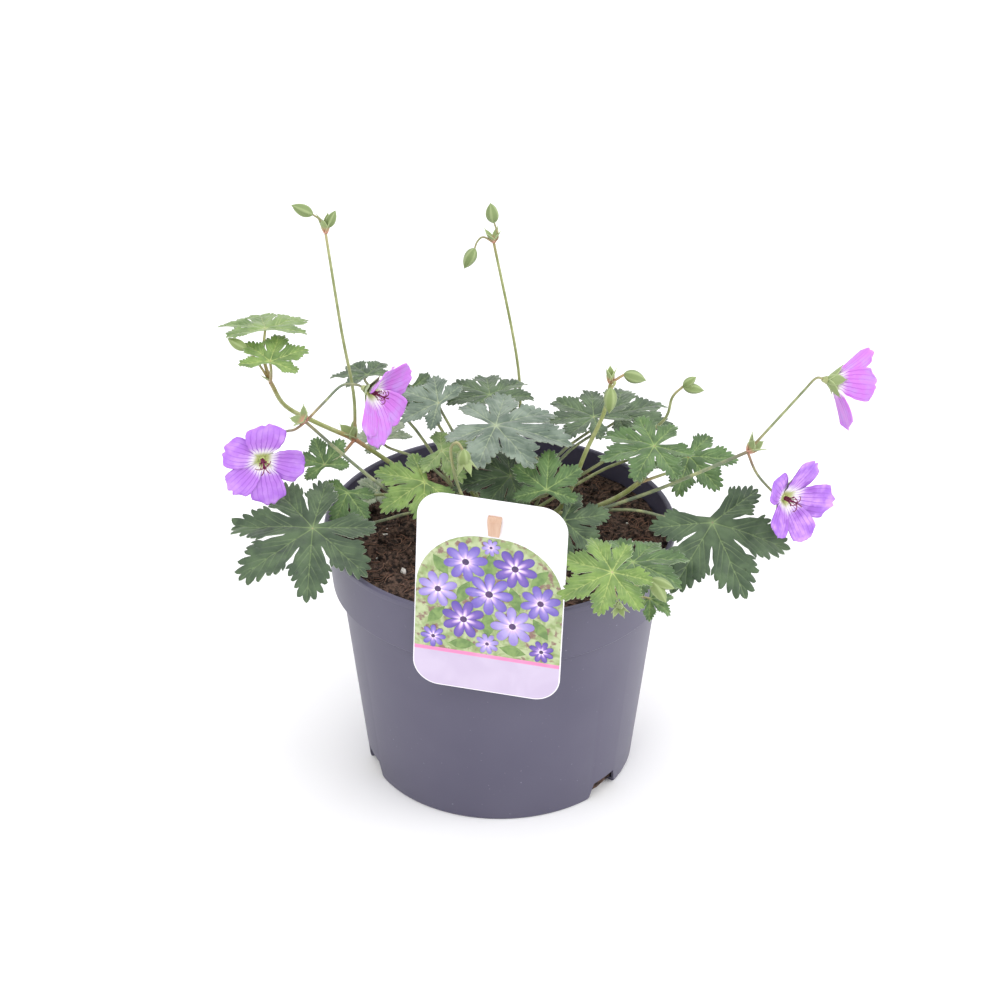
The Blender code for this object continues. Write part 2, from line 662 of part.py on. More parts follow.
def make_flower_stems(green, leaf_green):
    """The branched stems, each joined with its bracts, buds, calyces and stem leaves."""
    made = []
    roots = []

    def stem(points, start, end, per_span=2):
        return tube(smooth_path(points, per_span), start, end, green, 4 if start < 1.2 else 5)

    def rooted(x, y, points, start, end):
        roots.append((x, y, start))
        low = Vector((x, y, SOIL_LEVEL - ROOT_DEPTH))
        path = [low] + smooth_path([Vector((x, y, SOIL_LEVEL + 4.0))] + [Vector(p) for p in points], 2)
        return tube(path, start, end, green, 5)

    # Left stalk: a fork with two open flowers
    fork = Vector((-91, -15, 193))
    left, upper = BLOOMS["left"], BLOOMS["upper"]
    pieces = [rooted(-12, 2, ((-26, -1, 128), (-43, 1, 137), (-66, -8, 163), fork), 1.4, 1.1)]
    pieces += bracts(fork, (-0.5, -0.1, 0.6), 4, 7.0, green, 60.0, 0.4)
    pieces.append(stem([fork, Vector((-96, -17, 190)), Vector((-103, -10, 184))] + stalk_end(left), 0.9, 0.8))
    pieces.append(stem([fork, Vector((-82, -12, 202)), Vector((-74, -9, 209))] + stalk_end(upper), 0.9, 0.8))
    pieces += calyx(left, green) + calyx(upper, green)
    made.append(joined("stem_left_flowers", pieces))

    # Far left stem: it carries a tall stalk with two buds, and a leafy tip
    node = Vector((-71, 36, 155))
    leafy = Vector((-109, 13, 199))
    pieces = [rooted(-20, 26, ((-38, 34, 130), (-56, 40, 141), node), 2.0, 1.6)]
    pieces.append(stem([node, (-89, 26, 170), (-103, 19, 183), leafy], 1.6, 1.4))
    pieces += bracts(node, (-0.4, 0.0, 0.8), 4, 8.0, green, 40.0)
    fork = Vector((-82, 36, 266))
    pieces.append(stem([node, (-71, 36, 180), (-76, 36, 215), fork], 1.2, 0.9))
    pieces += bracts(fork, (0.0, 0.0, 1.0), 4, 8.0, green, 22.0, 0.5)
    pieces.append(stem([fork, (-84, 35, 273), (-88, 34, 277)], 0.7, 0.6))
    pieces.append(bud((-87.5, 34, 276.6), (-0.85, -0.05, 0.45), 11.5, 6.0, green))
    pieces.append(stem([fork, (-81, 36, 270)], 0.7, 0.6))
    pieces.append(bud((-81, 36, 269), (0.40, 0.0, 0.9), 10.0, 4.8, green))
    tip_leaf = Leaf("tip_leaf_high", (-111, 20, 224), 28, 100, -7, -90, 5, 0, ())
    low_leaf = Leaf("tip_leaf_low", (-108, 4, 215), 21, 80, 16, -90, 5, 0, ())
    side_leaf = Leaf("side_leaf", (-84, 2, 160), 17, 110, 40, -90, 5, 0, ())
    pieces.append(stem([leafy, (-112, 15, 212), tip_leaf.hub], 1.3, 0.8))
    pieces.append(stem([leafy, (-108, 7, 208), low_leaf.hub], 1.1, 0.8))
    pieces.append(stem([node, (-78, 26, 151), (-83, 14, 154), side_leaf.hub], 1.1, 0.8))
    pieces.append(stem([leafy, (-116, 13, 212), (-120, 13, 217)], 0.8, 0.7))
    pieces.append(bud((-119.5, 13, 216.5), (-0.75, 0.0, 0.5), 11.0, 5.2, green))
    pieces += bracts(leafy, (-0.3, 0.0, 0.9), 2, 7.0, green, 30.0)
    pieces += [leaf_blade(one, leaf_green) for one in (tip_leaf, low_leaf, side_leaf)]
    made.append(joined("stem_far_left", pieces))

    # Middle stalk: tall, with two buds on hooked stalks
    fork = Vector((-3, 74, 243))
    pieces = [rooted(1, 30, ((5, 48, 130), (9, 66, 141), (10, 75.5, 160), (7, 76, 188), fork), 1.3, 1.0)]
    pieces += bracts(fork, (-0.1, 0.0, 1.0), 4, 8.0, green, 26.0, 0.2)
    pieces.append(stem([fork, (-1, 73, 247), (-3, 73, 255)], 0.7, 0.6))
    pieces.append(bud((-3, 73, 254), (-0.15, 0.0, 1.0), 11.0, 6.6, green))
    pieces.append(stem([fork, (-8, 72, 247), (-11, 71, 245), (-12.5, 70, 241)], 0.7, 0.6))
    pieces.append(bud((-12.2, 70, 242), (-0.45, -0.1, -0.9), 12.0, 6.4, green))
    made.append(joined("stem_middle_buds", pieces))

    # Green stem in front: one hanging bud and one upright
    fork = Vector((52, -1, 206))
    pieces = [rooted(11, 9, ((21, 6, 128), (31, 4, 138), (41, 1, 168), (49, 0, 189), fork), 2.0, 1.3)]
    pieces += bracts(fork, (0.0, 0.0, 1.0), 3, 9.0, green, 18.0, 0.9)
    pieces.append(stem([fork, (54, -4, 208), (52, -5.5, 205)], 0.9, 0.8))
    pieces.append(bud((52, -5.4, 206), (-0.05, -0.12, -1.0), 13.5, 6.6, green))
    pieces.append(stem([fork, (56, -1, 209), (59, -1, 211)], 0.9, 0.8))
    pieces.append(bud((58, -1, 211), (0.9, 0.0, -0.30), 11.5, 6.6, green))
    made.append(joined("stem_centre_buds", pieces))

    # Low stem to the right: a bud cluster and a leaf beyond it
    node = Vector((67, 4, 149))
    pieces = [rooted(17, 14, ((26, 15, 125), (39, 13, 127), (56, 8, 138), node), 2.0, 1.7)]
    pieces += bracts(node, (0.3, 0.0, 1.0), 5, 9.0, green, 24.0, 0.3)
    leaf = Leaf("right_stem_leaf", (92, 26, 151), 26, -52, 22, -80, 5, 0, ())
    pieces.append(stem([node, (79, 12, 149), (87, 22, 146), leaf.hub], 1.1, 0.8))
    pieces.append(leaf_blade(leaf, leaf_green))
    made.append(joined("stem_right_leafy", pieces))

    # Long stalk to the right: a fork with two open flowers
    fork = Vector((117, -10, 174))
    far, right = BLOOMS["far"], BLOOMS["right"]
    pieces = [rooted(20, -1, ((30, 1, 126), (40, 3, 131), (77, -3, 150), fork), 1.5, 1.2)]
    pieces += bracts(fork, (0.7, 0.0, 0.8), 4, 9.0, green, 38.0, 0.2)
    pieces.append(stem([fork, (136, -10, 199), (142, -11.5, 208)] + stalk_end(far), 0.9, 0.8))
    pieces.append(stem([fork, (122, -10, 162)] + stalk_end(right), 0.9, 0.8))
    pieces += calyx(far, green) + calyx(right, green)
    made.append(joined("stem_right_flowers", pieces))

    # Back right stalk: two young buds
    fork = Vector((89, 42, 181))
    pieces = [rooted(14, 28, ((36, 36, 132), (62, 44, 146), (80, 42, 162), (84, 42, 175), fork), 1.4, 0.9)]
    pieces += bracts(fork, (0.9, 0.0, 0.1), 3, 6.0, green, 30.0)
    pieces.append(bud(fork, (0.9, 0.0, -0.2), 11.0, 5.4, green))
    pieces.append(bud(fork, (0.7, 0.0, 0.6), 8.5, 4.6, green))
    made.append(joined("stem_back_right_buds", pieces))

    # Nodding bud over the leaves in front of the crown
    hook = Vector((-20, -26, 188))
    pieces = [rooted(-6, -2, ((-9, -16, 135), (-19, -25, 162), (-23, -26, 183), hook, (-17, -27, 184)), 1.2, 0.9)]
    pieces.append(bud((-17, -27, 185), (0.0, -0.05, -1.0), 11.0, 7.0, green))
    pieces += bracts((-17, -27, 184.5), (0.1, 0.0, -1.0), 5, 13.0, green, 26.0)
    made.append(joined("stem_nodding_bud", pieces))

    # Front shoot: low over the rim, with a bright leaf, a small leaf and buds
    node = Vector((52, -74, 138))
    leaf = Leaf("shoot_leaf", (50.5, -95, 159.8), 28, 207, 22, -90, 7, 0, ())
    small = Leaf("shoot_small_leaf", (69, -78, 135), 12, -40, 24, -90, 5, 0, ())
    pieces = [rooted(6, -6, ((18, -22, 124), (31, -46, 126), (42, -63, 132), node), 1.6, 1.3)]
    pieces.append(stem([node, (52, -86, 147), leaf.hub], 1.1, 0.9))
    pieces.append(stem([node, (62, -78, 142), (70, -80, 147)], 1.0, 0.8))
    pieces.append(stem([node, (61, -76, 136), small.hub], 0.9, 0.8))
    pieces.append(stem([node, (53, -80, 138), (54, -84, 137)], 0.9, 0.8))
    pieces.append(bud((69, -80, 146.5), (0.55, -0.35, -0.75), 13.0, 6.4, green))
    pieces.append(bud((69, -80, 147), (0.95, -0.2, -0.35), 12.0, 5.2, green))
    pieces += bracts((54, -84, 137), (0.1, -0.8, -0.4), 5, 8.0, green, 34.0)
    pieces += [leaf_blade(leaf, leaf_green), leaf_blade(small, leaf_green)]
    made.append(joined("stem_front_shoot", pieces))
    return made, roots


def main():
    remove_everything()
    pot_plastic = material("pot_plastic", (0.075, 0.07, 0.095), 0.5)
    soil_finish = material("soil", (0.035, 0.02, 0.015), 0.95)
    card = material("label_card", (0.85, 0.83, 0.87), 0.35)
    wood = material("peg_wood", (0.55, 0.38, 0.26), 0.6)
    leaf_green = material("leaf", (0.07, 0.16, 0.05), 0.5)
    stem_green = material("stem", (0.24, 0.30, 0.10), 0.5)
    violet = material("petal", (0.42, 0.20, 0.75), 0.55)
    maroon = material("column", (0.22, 0.02, 0.08), 0.5)

    make_pot(pot_plastic)
    make_label(card)
    make_peg(wood)
    _, roots = make_flower_stems(stem_green, leaf_green)
    for leaf in BASAL_LEAVES:
        joined(leaf.name, leaf_pieces(leaf, leaf_green))
        root = leaf.root if isinstance(leaf.root, Vector) else root_place(leaf.hub, leaf.root)
        roots.append((root.x, root.y, PETIOLE_RADIUS + 0.2))
    for bloom in BLOOMS.values():
        make_petals(bloom, violet)
        make_column(bloom, maroon)
    roots.append((PEG_ROOT.x, PEG_ROOT.y, PEG_WIDTH / 2 + 0.4))
    make_soil(roots, soil_finish)


main()
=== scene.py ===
"""The looks of a hardy geranium in its nursery pot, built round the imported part.

Places and sizes are in millimetres, in the part's own frame; MM turns them into metres.
"""

import json
import math
import random
from collections import namedtuple
from functools import partial

import bpy
from mathutils import Matrix, Vector, noise
from mathutils.geometry import delaunay_2d_cdt

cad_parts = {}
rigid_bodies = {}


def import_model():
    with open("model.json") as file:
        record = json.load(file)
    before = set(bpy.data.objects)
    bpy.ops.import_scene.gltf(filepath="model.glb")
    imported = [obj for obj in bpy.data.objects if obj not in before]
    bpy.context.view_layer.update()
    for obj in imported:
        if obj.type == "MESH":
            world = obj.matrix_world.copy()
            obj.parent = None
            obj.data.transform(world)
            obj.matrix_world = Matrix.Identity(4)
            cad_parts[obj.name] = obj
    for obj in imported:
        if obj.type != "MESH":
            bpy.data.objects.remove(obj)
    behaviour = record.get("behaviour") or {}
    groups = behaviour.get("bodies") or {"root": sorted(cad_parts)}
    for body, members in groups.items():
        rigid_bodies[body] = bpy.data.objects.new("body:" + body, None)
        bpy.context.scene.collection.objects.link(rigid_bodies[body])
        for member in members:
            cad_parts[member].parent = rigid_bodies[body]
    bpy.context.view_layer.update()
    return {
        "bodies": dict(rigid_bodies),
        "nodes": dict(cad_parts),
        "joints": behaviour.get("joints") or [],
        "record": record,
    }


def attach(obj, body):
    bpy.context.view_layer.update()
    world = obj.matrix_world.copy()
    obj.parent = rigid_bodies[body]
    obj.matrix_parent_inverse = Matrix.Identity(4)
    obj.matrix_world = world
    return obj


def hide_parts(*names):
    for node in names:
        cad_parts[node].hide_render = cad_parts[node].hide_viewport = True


MM = 0.001
BODY = "root"

# Pot
POT_HEIGHT = 130.0
POT_RIM_RADIUS = 85.0
POT_COLLAR_RADIUS = 81.4
POT_COLLAR_BOTTOM = 100.0
POT_BODY_TOP_RADIUS = 77.5
POT_BASE_RADIUS = 66.0
POT_WALL = 1.6
NOTCH_ANGLES = (-40.0, 80.0, 200.0)
NOTCH_WIDTH = 21.0
NOTCH_HEIGHT = 9.0
NOTCH_DEPTH = 9.0

# Soil
SOIL_LEVEL = 119.0
SOIL_MOUND = 3.0
SOIL_RADIUS = 81.2
CROWN = Vector((-2.0, 14.0, 0.0))

# Label and its peg
LABEL_WIDTH = 69.6
LABEL_HEIGHT = 103.7
LABEL_THICKNESS = 0.5
LABEL_CORNER = 12.5
LABEL_YAW = -12.5
LABEL_ROLL = 2.2
LABEL_FROM_AXIS = 86.3
LABEL_ASIDE = 14.1
LABEL_MIDDLE_HEIGHT = 141.5

# Print on the label: how far in front of the card each ink lies, and the heights where its fields meet
INK_LIFT = {"lilac": 0.05, "pink": 0.09, "green": 0.14, "leaves": 0.19, "daisies": 0.25}
DAISY_STEP = 0.012
HEART_LIFT = 0.06
INK_MARGIN = 0.5
FOOT_TOP = -31.0
LINE_HEIGHTS = (-33.0, -30.0)
FIELD_TOP = 32.0
PRINTED_LEAVES = (
    (0.0, 17.0, 15.0, 1.57), (-23.0, 14.0, 13.0, 2.2), (23.0, 14.0, 13.0, 0.9), (-12.0, 1.0, 14.0, 1.2),
    (12.0, 1.0, 14.0, 1.9), (0.0, -14.5, 15.0, 1.57), (-24.5, -13.0, 13.0, 0.9), (24.5, -13.0, 13.0, 2.2),
    (-12.0, -27.0, 13.0, 0.1), (12.0, -27.0, 13.0, 3.0),
)
PRINTED_DAISIES = (
    (-11.5, 17.5, 10.4, 0.2, 0), (11.5, 17.5, 10.4, 0.6, 2), (-24.0, 1.0, 9.6, 0.4, 1),
    (0.0, 2.0, 11.2, 0.0, 0), (24.0, 1.0, 9.6, 0.3, 0), (-11.5, -13.5, 10.4, 0.5, 2),
    (11.5, -13.5, 10.4, 0.1, 1), (0.0, 27.0, 4.4, 0.2, 1), (-25.5, -25.0, 6.0, 0.0, 0),
    (25.5, -25.0, 6.0, 0.4, 2), (0.0, -25.0, 5.6, 0.3, 1),
)

# Leaves: lobes as in the part, with the smaller teeth that it leaves out
LOBE_PLANS = {
    7: (47.0, (1.0, 0.93, 0.86, 0.70)),
    5: (53.0, (1.0, 0.97, 0.74)),
}
SINUS = 0.31
SLIT_EDGE = (0.46, 0.93)
NOTCHES = (
    (0.55, 0.87), (0.645, 0.83), (0.69, 0.64), (0.57, 0.45), (0.73, 0.41), (0.825, 0.29), (0.905, 0.115),
)
SIDE_VEINS = (
    (0.22, 0.62, 0.80), (0.30, 0.72, 0.66), (0.48, 0.74, 0.42), (0.60, 0.84, 0.30), (0.76, 0.93, 0.18),
)
BLADE_THICKNESS = 0.45
VEIN_HALF_WIDTH = 0.5

# Flowers: half widths of a petal from claw to tip, and the paths of a stigma and of a stamen
PETAL_WIDTHS = (
    (0.0, 0.24), (0.18, 0.50), (0.36, 0.80), (0.55, 0.97),
    (0.72, 1.02), (0.86, 0.97), (0.95, 0.80), (1.0, 0.62),
)
STIGMA_PATH = ((0.1, 6.8), (0.7, 8.0), (2.2, 8.7), (3.7, 8.2), (4.2, 7.2))
STAMEN_PATH = ((0.9, -0.2), (1.2, 3.2), (2.3, 5.4))
PETAL_BEND = 26.0
PETAL_TWIST = 0.9
PETAL_THICKNESS = 0.3
DISC_THICKNESS = 1.6
DISC_RADIUS = 2.4
GAP = 0.3
SEPAL_LENGTH = 10.5
SEPAL_WIDTH = 5.4

# The photograph's view, and the studio's light: each lamp's place, side and power
CAMERA_PITCH = 30.5
CAMERA_DISTANCE = 1.43
CAMERA_AIM = (0.0, 0.0, 0.1417)
CAMERA_LENS = 107.0
SKY_STRENGTH = 0.95
LAMPS = {
    "key": ((-0.9, -1.3, 1.7), 1.4, 14.0),
    "fill": ((1.4, -0.5, 0.9), 1.4, 14.0),
    "top": ((0.1, 0.6, 1.9), 1.2, 9.0),
}

# What the materials share: colour mixes, soft steps, and the shine of coated card
RGBA = {"data_type": "RGBA"}
SMOOTH = {"interpolation_type": "SMOOTHSTEP"}
COATED = {"Roughness": 0.32, "Coat_Weight": 0.3, "Coat_Roughness": 0.2}

Leaf = namedtuple("Leaf", "name hub size heading tilt toward lobes look root via")
Bloom = namedtuple("Bloom", "name base facing petals")
Petal = namedtuple("Petal", "angle opening length half_width")


def deselect():
    bpy.ops.object.select_all(action="DESELECT")


def take(obj):
    """Makes an object the one that operators act on."""
    deselect()
    obj.select_set(True)
    bpy.context.view_layer.objects.active = obj
    return obj


def placed(name, data):
    """A new object in the scene, made of the given mesh, curve, lamp or lens."""
    made = bpy.data.objects.new(name, data)
    bpy.context.scene.collection.objects.link(made)
    return made


def simple_body(made_by, **settings):
    """A grid, ball, disc or block to shape further, made by one of Blender's own operators."""
    deselect()
    made_by(**settings)
    return bpy.context.object


def joined(name, pieces):
    """One object from several, which keeps their materials and attributes."""
    take(pieces[0])
    for piece in pieces:
        piece.select_set(True)
    if len(pieces) > 1:
        bpy.ops.object.join()
    whole = bpy.context.object
    whole.name = name
    whole.data.name = name
    return whole


def applied(obj, kind, **settings):
    """Adds a modifier with its settings and applies it."""
    take(obj)
    modifier = obj.modifiers.new(kind.lower(), kind)
    for key, value in settings.items():
        setattr(modifier, key, value)
    bpy.ops.object.modifier_apply(modifier=modifier.name)
    return obj


def shown(piece, slot, *nodes):
    """Fixes a finished piece to the part, in place of the CAD nodes that it stands for."""
    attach(piece, BODY)
    if nodes:
        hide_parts(*nodes)
    return piece


def attribute(obj, name, values):
    layer = obj.data.attributes.new(name, "FLOAT", "POINT")
    layer.data.foreach_set("value", values)


def linear(code):
    """Linear colour from an sRGB hex code."""
    parts = [int(code[i:i + 2], 16) / 255 for i in (1, 3, 5)]
    return [c / 12.92 if c <= 0.04045 else ((c + 0.055) / 1.055) ** 2.4 for c in parts] + [1.0]


def add(tree, kind, inputs=None, out=0, **settings):
    """Adds a shader node with its settings, values and links, and gives one of its outputs."""
    made = tree.nodes.new("ShaderNode" + kind)
    for key, value in settings.items():
        setattr(made, key, value)
    for key, value in (inputs or {}).items():
        if isinstance(value, bpy.types.NodeSocket):
            tree.links.new(value, made.inputs[key])
        else:
            made.inputs[key].default_value = value
    return made.outputs[out]


def grains(place, size_mm, detail=3.0):
    """Noise settings on object coordinates, for grains about that many millimetres across."""
    return {"Vector": place, "Scale": 1.0 / (size_mm * MM), "Detail": detail}


def relief(height, strength, depth_mm):
    """Bump settings for a relief that many millimetres deep."""
    return {"Height": height, "Strength": strength, "Distance": depth_mm * MM}


def surface(name, **constants):
    """A material with its constants on the shader's own sockets.

    With it come `add` for its own nodes, and its coordinates.
    """
    made = bpy.data.materials.new(name)
    made.use_nodes = True
    shader = made.node_tree.nodes["Principled BSDF"]
    for key, value in constants.items():
        shader.inputs[key.replace("_", " ")].default_value = value
    node = partial(add, made.node_tree)
    return made, node, node("TexCoord", out="Object")


def finished(made, colour, normal=None):
    """Gives a material its colour and the fine relief of its surface."""
    shader = made.node_tree.nodes["Principled BSDF"]
    made.node_tree.links.new(colour, shader.inputs["Base Color"])
    if normal is not None:
        made.node_tree.links.new(normal, shader.inputs["Normal"])
    return made


def moulded_polypropylene():
    """Injection-moulded polypropylene: dark grey with a violet cast, satin, faintly scuffed."""
    made, node, place = surface("moulded_polypropylene", Roughness=0.42)
    cloud = node("TexNoise", grains(place, 40.0, 2.0))
    speck = node("TexNoise", grains(place, 1.6, 4.0))
    scuffs = node("MapRange", {0: speck, 1: 0.70, 2: 0.78}, **SMOOTH)
    body = node("Mix", {0: cloud, 6: linear("#4a475d"), 7: linear("#585569")}, 2, **RGBA)
    scuffed = node("Mix", {0: scuffs, 6: body, 7: linear("#807c8e")}, 2, **RGBA)
    fine = node("TexNoise", grains(place, 0.7, 2.0))
    return finished(made, scuffed, node("Bump", relief(fine, 0.12, 0.08)))


def potting_soil():
    """Moist peat and coir: dark brown, crumbly, with no gloss."""
    made, node, place = surface("potting_soil", Roughness=0.95, Specular_IOR_Level=0.2)
    crumbs = node("TexNoise", grains(place, 2.2, 6.0))
    crumbs = node("MapRange", {0: crumbs, 1: 0.36, 2: 0.68}, **SMOOTH)
    dark = node("Mix", {0: crumbs, 6: linear("#27201e"), 7: linear("#685348")}, 2, **RGBA)
    spots = node("TexNoise", grains(place, 1.1))
    spots = node("MapRange", {0: spots, 1: 0.62, 2: 0.72}, **SMOOTH)
    colour = node("Mix", {0: spots, 6: dark, 7: linear("#8b6f61")}, 2, **RGBA)
    rough = node("TexNoise", grains(place, 1.3, 6.0))
    return finished(made, colour, node("Bump", relief(rough, 0.9, 1.2)))


def two_toned(name, first, second, size_mm, detail, bumps, **constants):
    """One colour that runs into another, with bumps as (size_mm, detail, strength, depth_mm)."""
    made, node, place = surface(name, **constants)
    tone = node("TexNoise", grains(place, size_mm, detail))
    colour = node("Mix", {0: tone, 6: linear(first), 7: linear(second)}, 2, **RGBA)
    fine = node("TexNoise", grains(place, bumps[0], bumps[1]))
    return finished(made, colour, node("Bump", relief(fine, bumps[2], bumps[3])))


def coir_fibre():
    """Coconut fibre: dry, red-brown threads."""
    return two_toned("coir_fibre", "#4b3026", "#9a7560", 9.0, 2.0, (0.5, 2.0, 0.4, 0.1), Roughness=0.8)


def perlite():
    """Expanded volcanic glass: chalk-white, pitted grains."""
    return two_toned("perlite", "#b9b2aa", "#f4f1ec", 0.9, 3.0, (0.9, 3.0, 0.8, 0.3), Roughness=0.9)


# Leaf colours: the dark and light green of the blade, and its veins
LOOKS = {
    "dark": ("#2f452b", "#4c6340", "#7d9360"),
    "mid": ("#3b592b", "#55763d", "#93ac66"),
    "bright": ("#547232", "#7a9748", "#afc072"),
    "tender": ("#5c783c", "#809a56", "#adba80"),
    "grey": ("#4c5f50", "#7a897a", "#a2b08e"),
    "old": ("#5f7355", "#98a28a", "#b6bd9c"),
}


def leaf_skin(look):
    """The upper side of a leaf: matt green with short hairs, paler along its sunk veins, with a painted
    highlight along its rim.
    """
    dark, light, vein = (linear(code) for code in LOOKS[look])
    made, node, place = surface("leaf_skin_" + look, Roughness=0.52, Sheen_Weight=0.25, Sheen_Roughness=0.5)
    blotch = node("TexNoise", grains(place, 9.0))
    blotch = node("MapRange", {0: blotch, 1: 0.34, 2: 0.70}, **SMOOTH)
    body = node("Mix", {0: blotch, 6: dark, 7: light}, 2, **RGBA)
    # Painted highlight: the outer part of the blade runs towards the light green, standing in for the soft
    # shine along the hairy rim.
    margin = node("Attribute", out="Fac", attribute_name="margin")
    edge = node("Mix", {0: margin, 6: body, 7: light}, 2, **RGBA)
    veins = node("Attribute", out="Fac", attribute_name="vein")
    shown_veins = node("MapRange", {0: veins, 1: 0.05, 2: 1.05}, **SMOOTH)
    colour = node("Mix", {0: shown_veins, 6: edge, 7: vein}, 2, **RGBA)
    cells = node("TexNoise", grains(place, 1.1))
    sunk = node("Math", {0: cells, 1: veins}, operation="SUBTRACT")
    return finished(made, colour, node("Bump", relief(sunk, 0.35, 0.35)))


def leaf_underside(look):
    """The under side of a leaf: paler, with raised veins."""
    _, light, vein = (linear(code) for code in LOOKS[look])
    made, node, place = surface("leaf_underside_" + look, Roughness=0.7, Sheen_Weight=0.3)
    pale = node("Mix", {0: 0.30, 6: light, 7: linear("#c3cdb8")}, 2, **RGBA)
    veins = node("Attribute", out="Fac", attribute_name="vein")
    colour = node("Mix", {0: veins, 6: pale, 7: vein}, 2, **RGBA)
    cells = node("TexNoise", grains(place, 0.9))
    return finished(made, colour, node("Bump", relief(cells, 0.3, 0.2)))


def living_stem():
    """A young herbaceous stem: green, fresher or greyer by age, and flushed pink at its joints."""
    made, node, place = surface("living_stem", Roughness=0.5, Sheen_Weight=0.35, Sheen_Roughness=0.4)
    fresh = node("Attribute", out="Fac", attribute_name="fresh")
    green = node("Mix", {0: fresh, 6: linear("#6d7a62"), 7: linear("#929b56")}, 2, **RGBA)
    tone = node("TexNoise", grains(place, 6.0, 2.0))
    tone = node("MapRange", {0: tone, 1: 0.35, 2: 0.75}, **SMOOTH)
    varied = node("Mix", {0: tone, 6: green, 7: linear("#aeb37f")}, 2, **RGBA)
    blush = node("Attribute", out="Fac", attribute_name="blush")
    flushed = node("Mix", {0: blush, 6: varied, 7: linear("#b0715c")}, 2, **RGBA)
    fine = node("TexNoise", grains(place, 0.6, 2.0))
    return finished(made, flushed, node("Bump", relief(fine, 0.3, 0.15)))


def sepal_skin():
    """Sepals, bracts and buds: soft green with pale hairy edges and ribs."""
    made, node, place = surface("sepal_skin", Roughness=0.62, Sheen_Weight=0.25, Sheen_Roughness=0.4)
    fresh, rib, blush = (node("Attribute", out="Fac", attribute_name=kind)
                         for kind in ("fresh", "rib", "blush"))
    green = node("Mix", {0: fresh, 6: linear("#66774f"), 7: linear("#879a5c")}, 2, **RGBA)
    ribbed = node("Mix", {0: rib, 6: green, 7: linear("#a9b884")}, 2, **RGBA)
    flushed = node("Mix", {0: blush, 6: ribbed, 7: linear("#d39a86")}, 2, **RGBA)
    fine = node("TexNoise", grains(place, 0.7))
    return finished(made, flushed, node("Bump", relief(fine, 0.35, 0.2)))


def petal_skin(name, body_code, tip_code, vein_code):
    """A petal: violet-pink silk with fine darker veins that run out from a pale green throat."""
    made, node, place = surface(name, Roughness=0.5, Sheen_Weight=0.2, Sheen_Roughness=0.3)
    along, across = (node("Attribute", out="Fac", attribute_name=way) for way in ("along", "across"))
    wander = node("TexNoise", grains(place, 3.0, 2.0))
    wander = node("Math", {0: wander, 1: 0.10}, operation="MULTIPLY")
    moved = node("Math", {0: across, 1: wander}, operation="ADD")
    turns = node("Math", {0: moved, 1: 22.0}, operation="MULTIPLY")
    wave = node("Math", {0: turns}, operation="SINE")
    lines = node("MapRange", {0: wave, 1: 0.62, 2: 1.0}, **SMOOTH)
    fading = node("MapRange", {0: along, 1: 0.25, 2: 0.95, 3: 0.75, 4: 0.10})
    strength = node("Math", {0: lines, 1: fading}, operation="MULTIPLY")
    outer = node("MapRange", {0: along, 1: 0.35, 2: 1.0}, **SMOOTH)
    outer = node("Mix", {0: outer, 6: linear(body_code), 7: linear(tip_code)}, 2, **RGBA)
    mottle = node("TexNoise", grains(place, 6.0))
    mottle = node("MapRange", {0: mottle, 1: 0.35, 2: 0.75}, **SMOOTH)
    mottled = node("Mix", {0: mottle, 6: outer, 7: linear("#c996ea")}, 2, **RGBA)
    veined = node("Mix", {0: strength, 6: mottled, 7: linear(vein_code)}, 2, **RGBA)
    throat = node("MapRange", {0: along, 1: 0.06, 2: 0.20}, **SMOOTH)
    throat = node("Mix", {0: throat, 6: linear("#bcc77e"), 7: linear("#efeaf0")}, 2, **RGBA)
    reach = node("Math", {0: lines, 1: 0.10}, operation="MULTIPLY")
    outward = node("Math", {0: along, 1: reach}, operation="ADD")
    past_throat = node("MapRange", {0: outward, 1: 0.17, 2: 0.38}, **SMOOTH)
    colour = node("Mix", {0: past_throat, 6: throat, 7: veined}, 2, **RGBA)
    return finished(made, colour, node("Bump", relief(lines, 0.2, 0.12)))


def column_skin():
    """Style and stamens: dark red-purple threads."""
    return two_toned("column_skin", "#5c1236", "#8c2a58", 2.0, 2.0, (0.4, 2.0, 0.3, 0.1), Roughness=0.5)


def coated_card():
    """Plastic-coated card: white and smooth, with a soft shine."""
    return two_toned("coated_card", "#f1eef6", "#fbfafd", 30.0, 2.0, (5.0, 2.0, 0.05, 0.1), **COATED)


def printed(name, first, second, size_mm, third=None):
    """Ink on coated card: one colour that runs softly into another, and into a third where there is one."""
    made, node, place = surface(name, **COATED)
    run = node("TexNoise", {**grains(place, size_mm, 2.0), "Distortion": 0.6})
    run = node("MapRange", {0: run, 1: 0.35, 2: 0.65}, **SMOOTH)
    colour = node("Mix", {0: run, 6: linear(first), 7: linear(second)}, 2, **RGBA)
    if third:
        spots = node("TexNoise", grains(place, size_mm * 0.7))
        spots = node("MapRange", {0: spots, 1: 0.52, 2: 0.66}, **SMOOTH)
        colour = node("Mix", {0: spots, 6: colour, 7: linear(third)}, 2, **RGBA)
    return finished(made, colour)


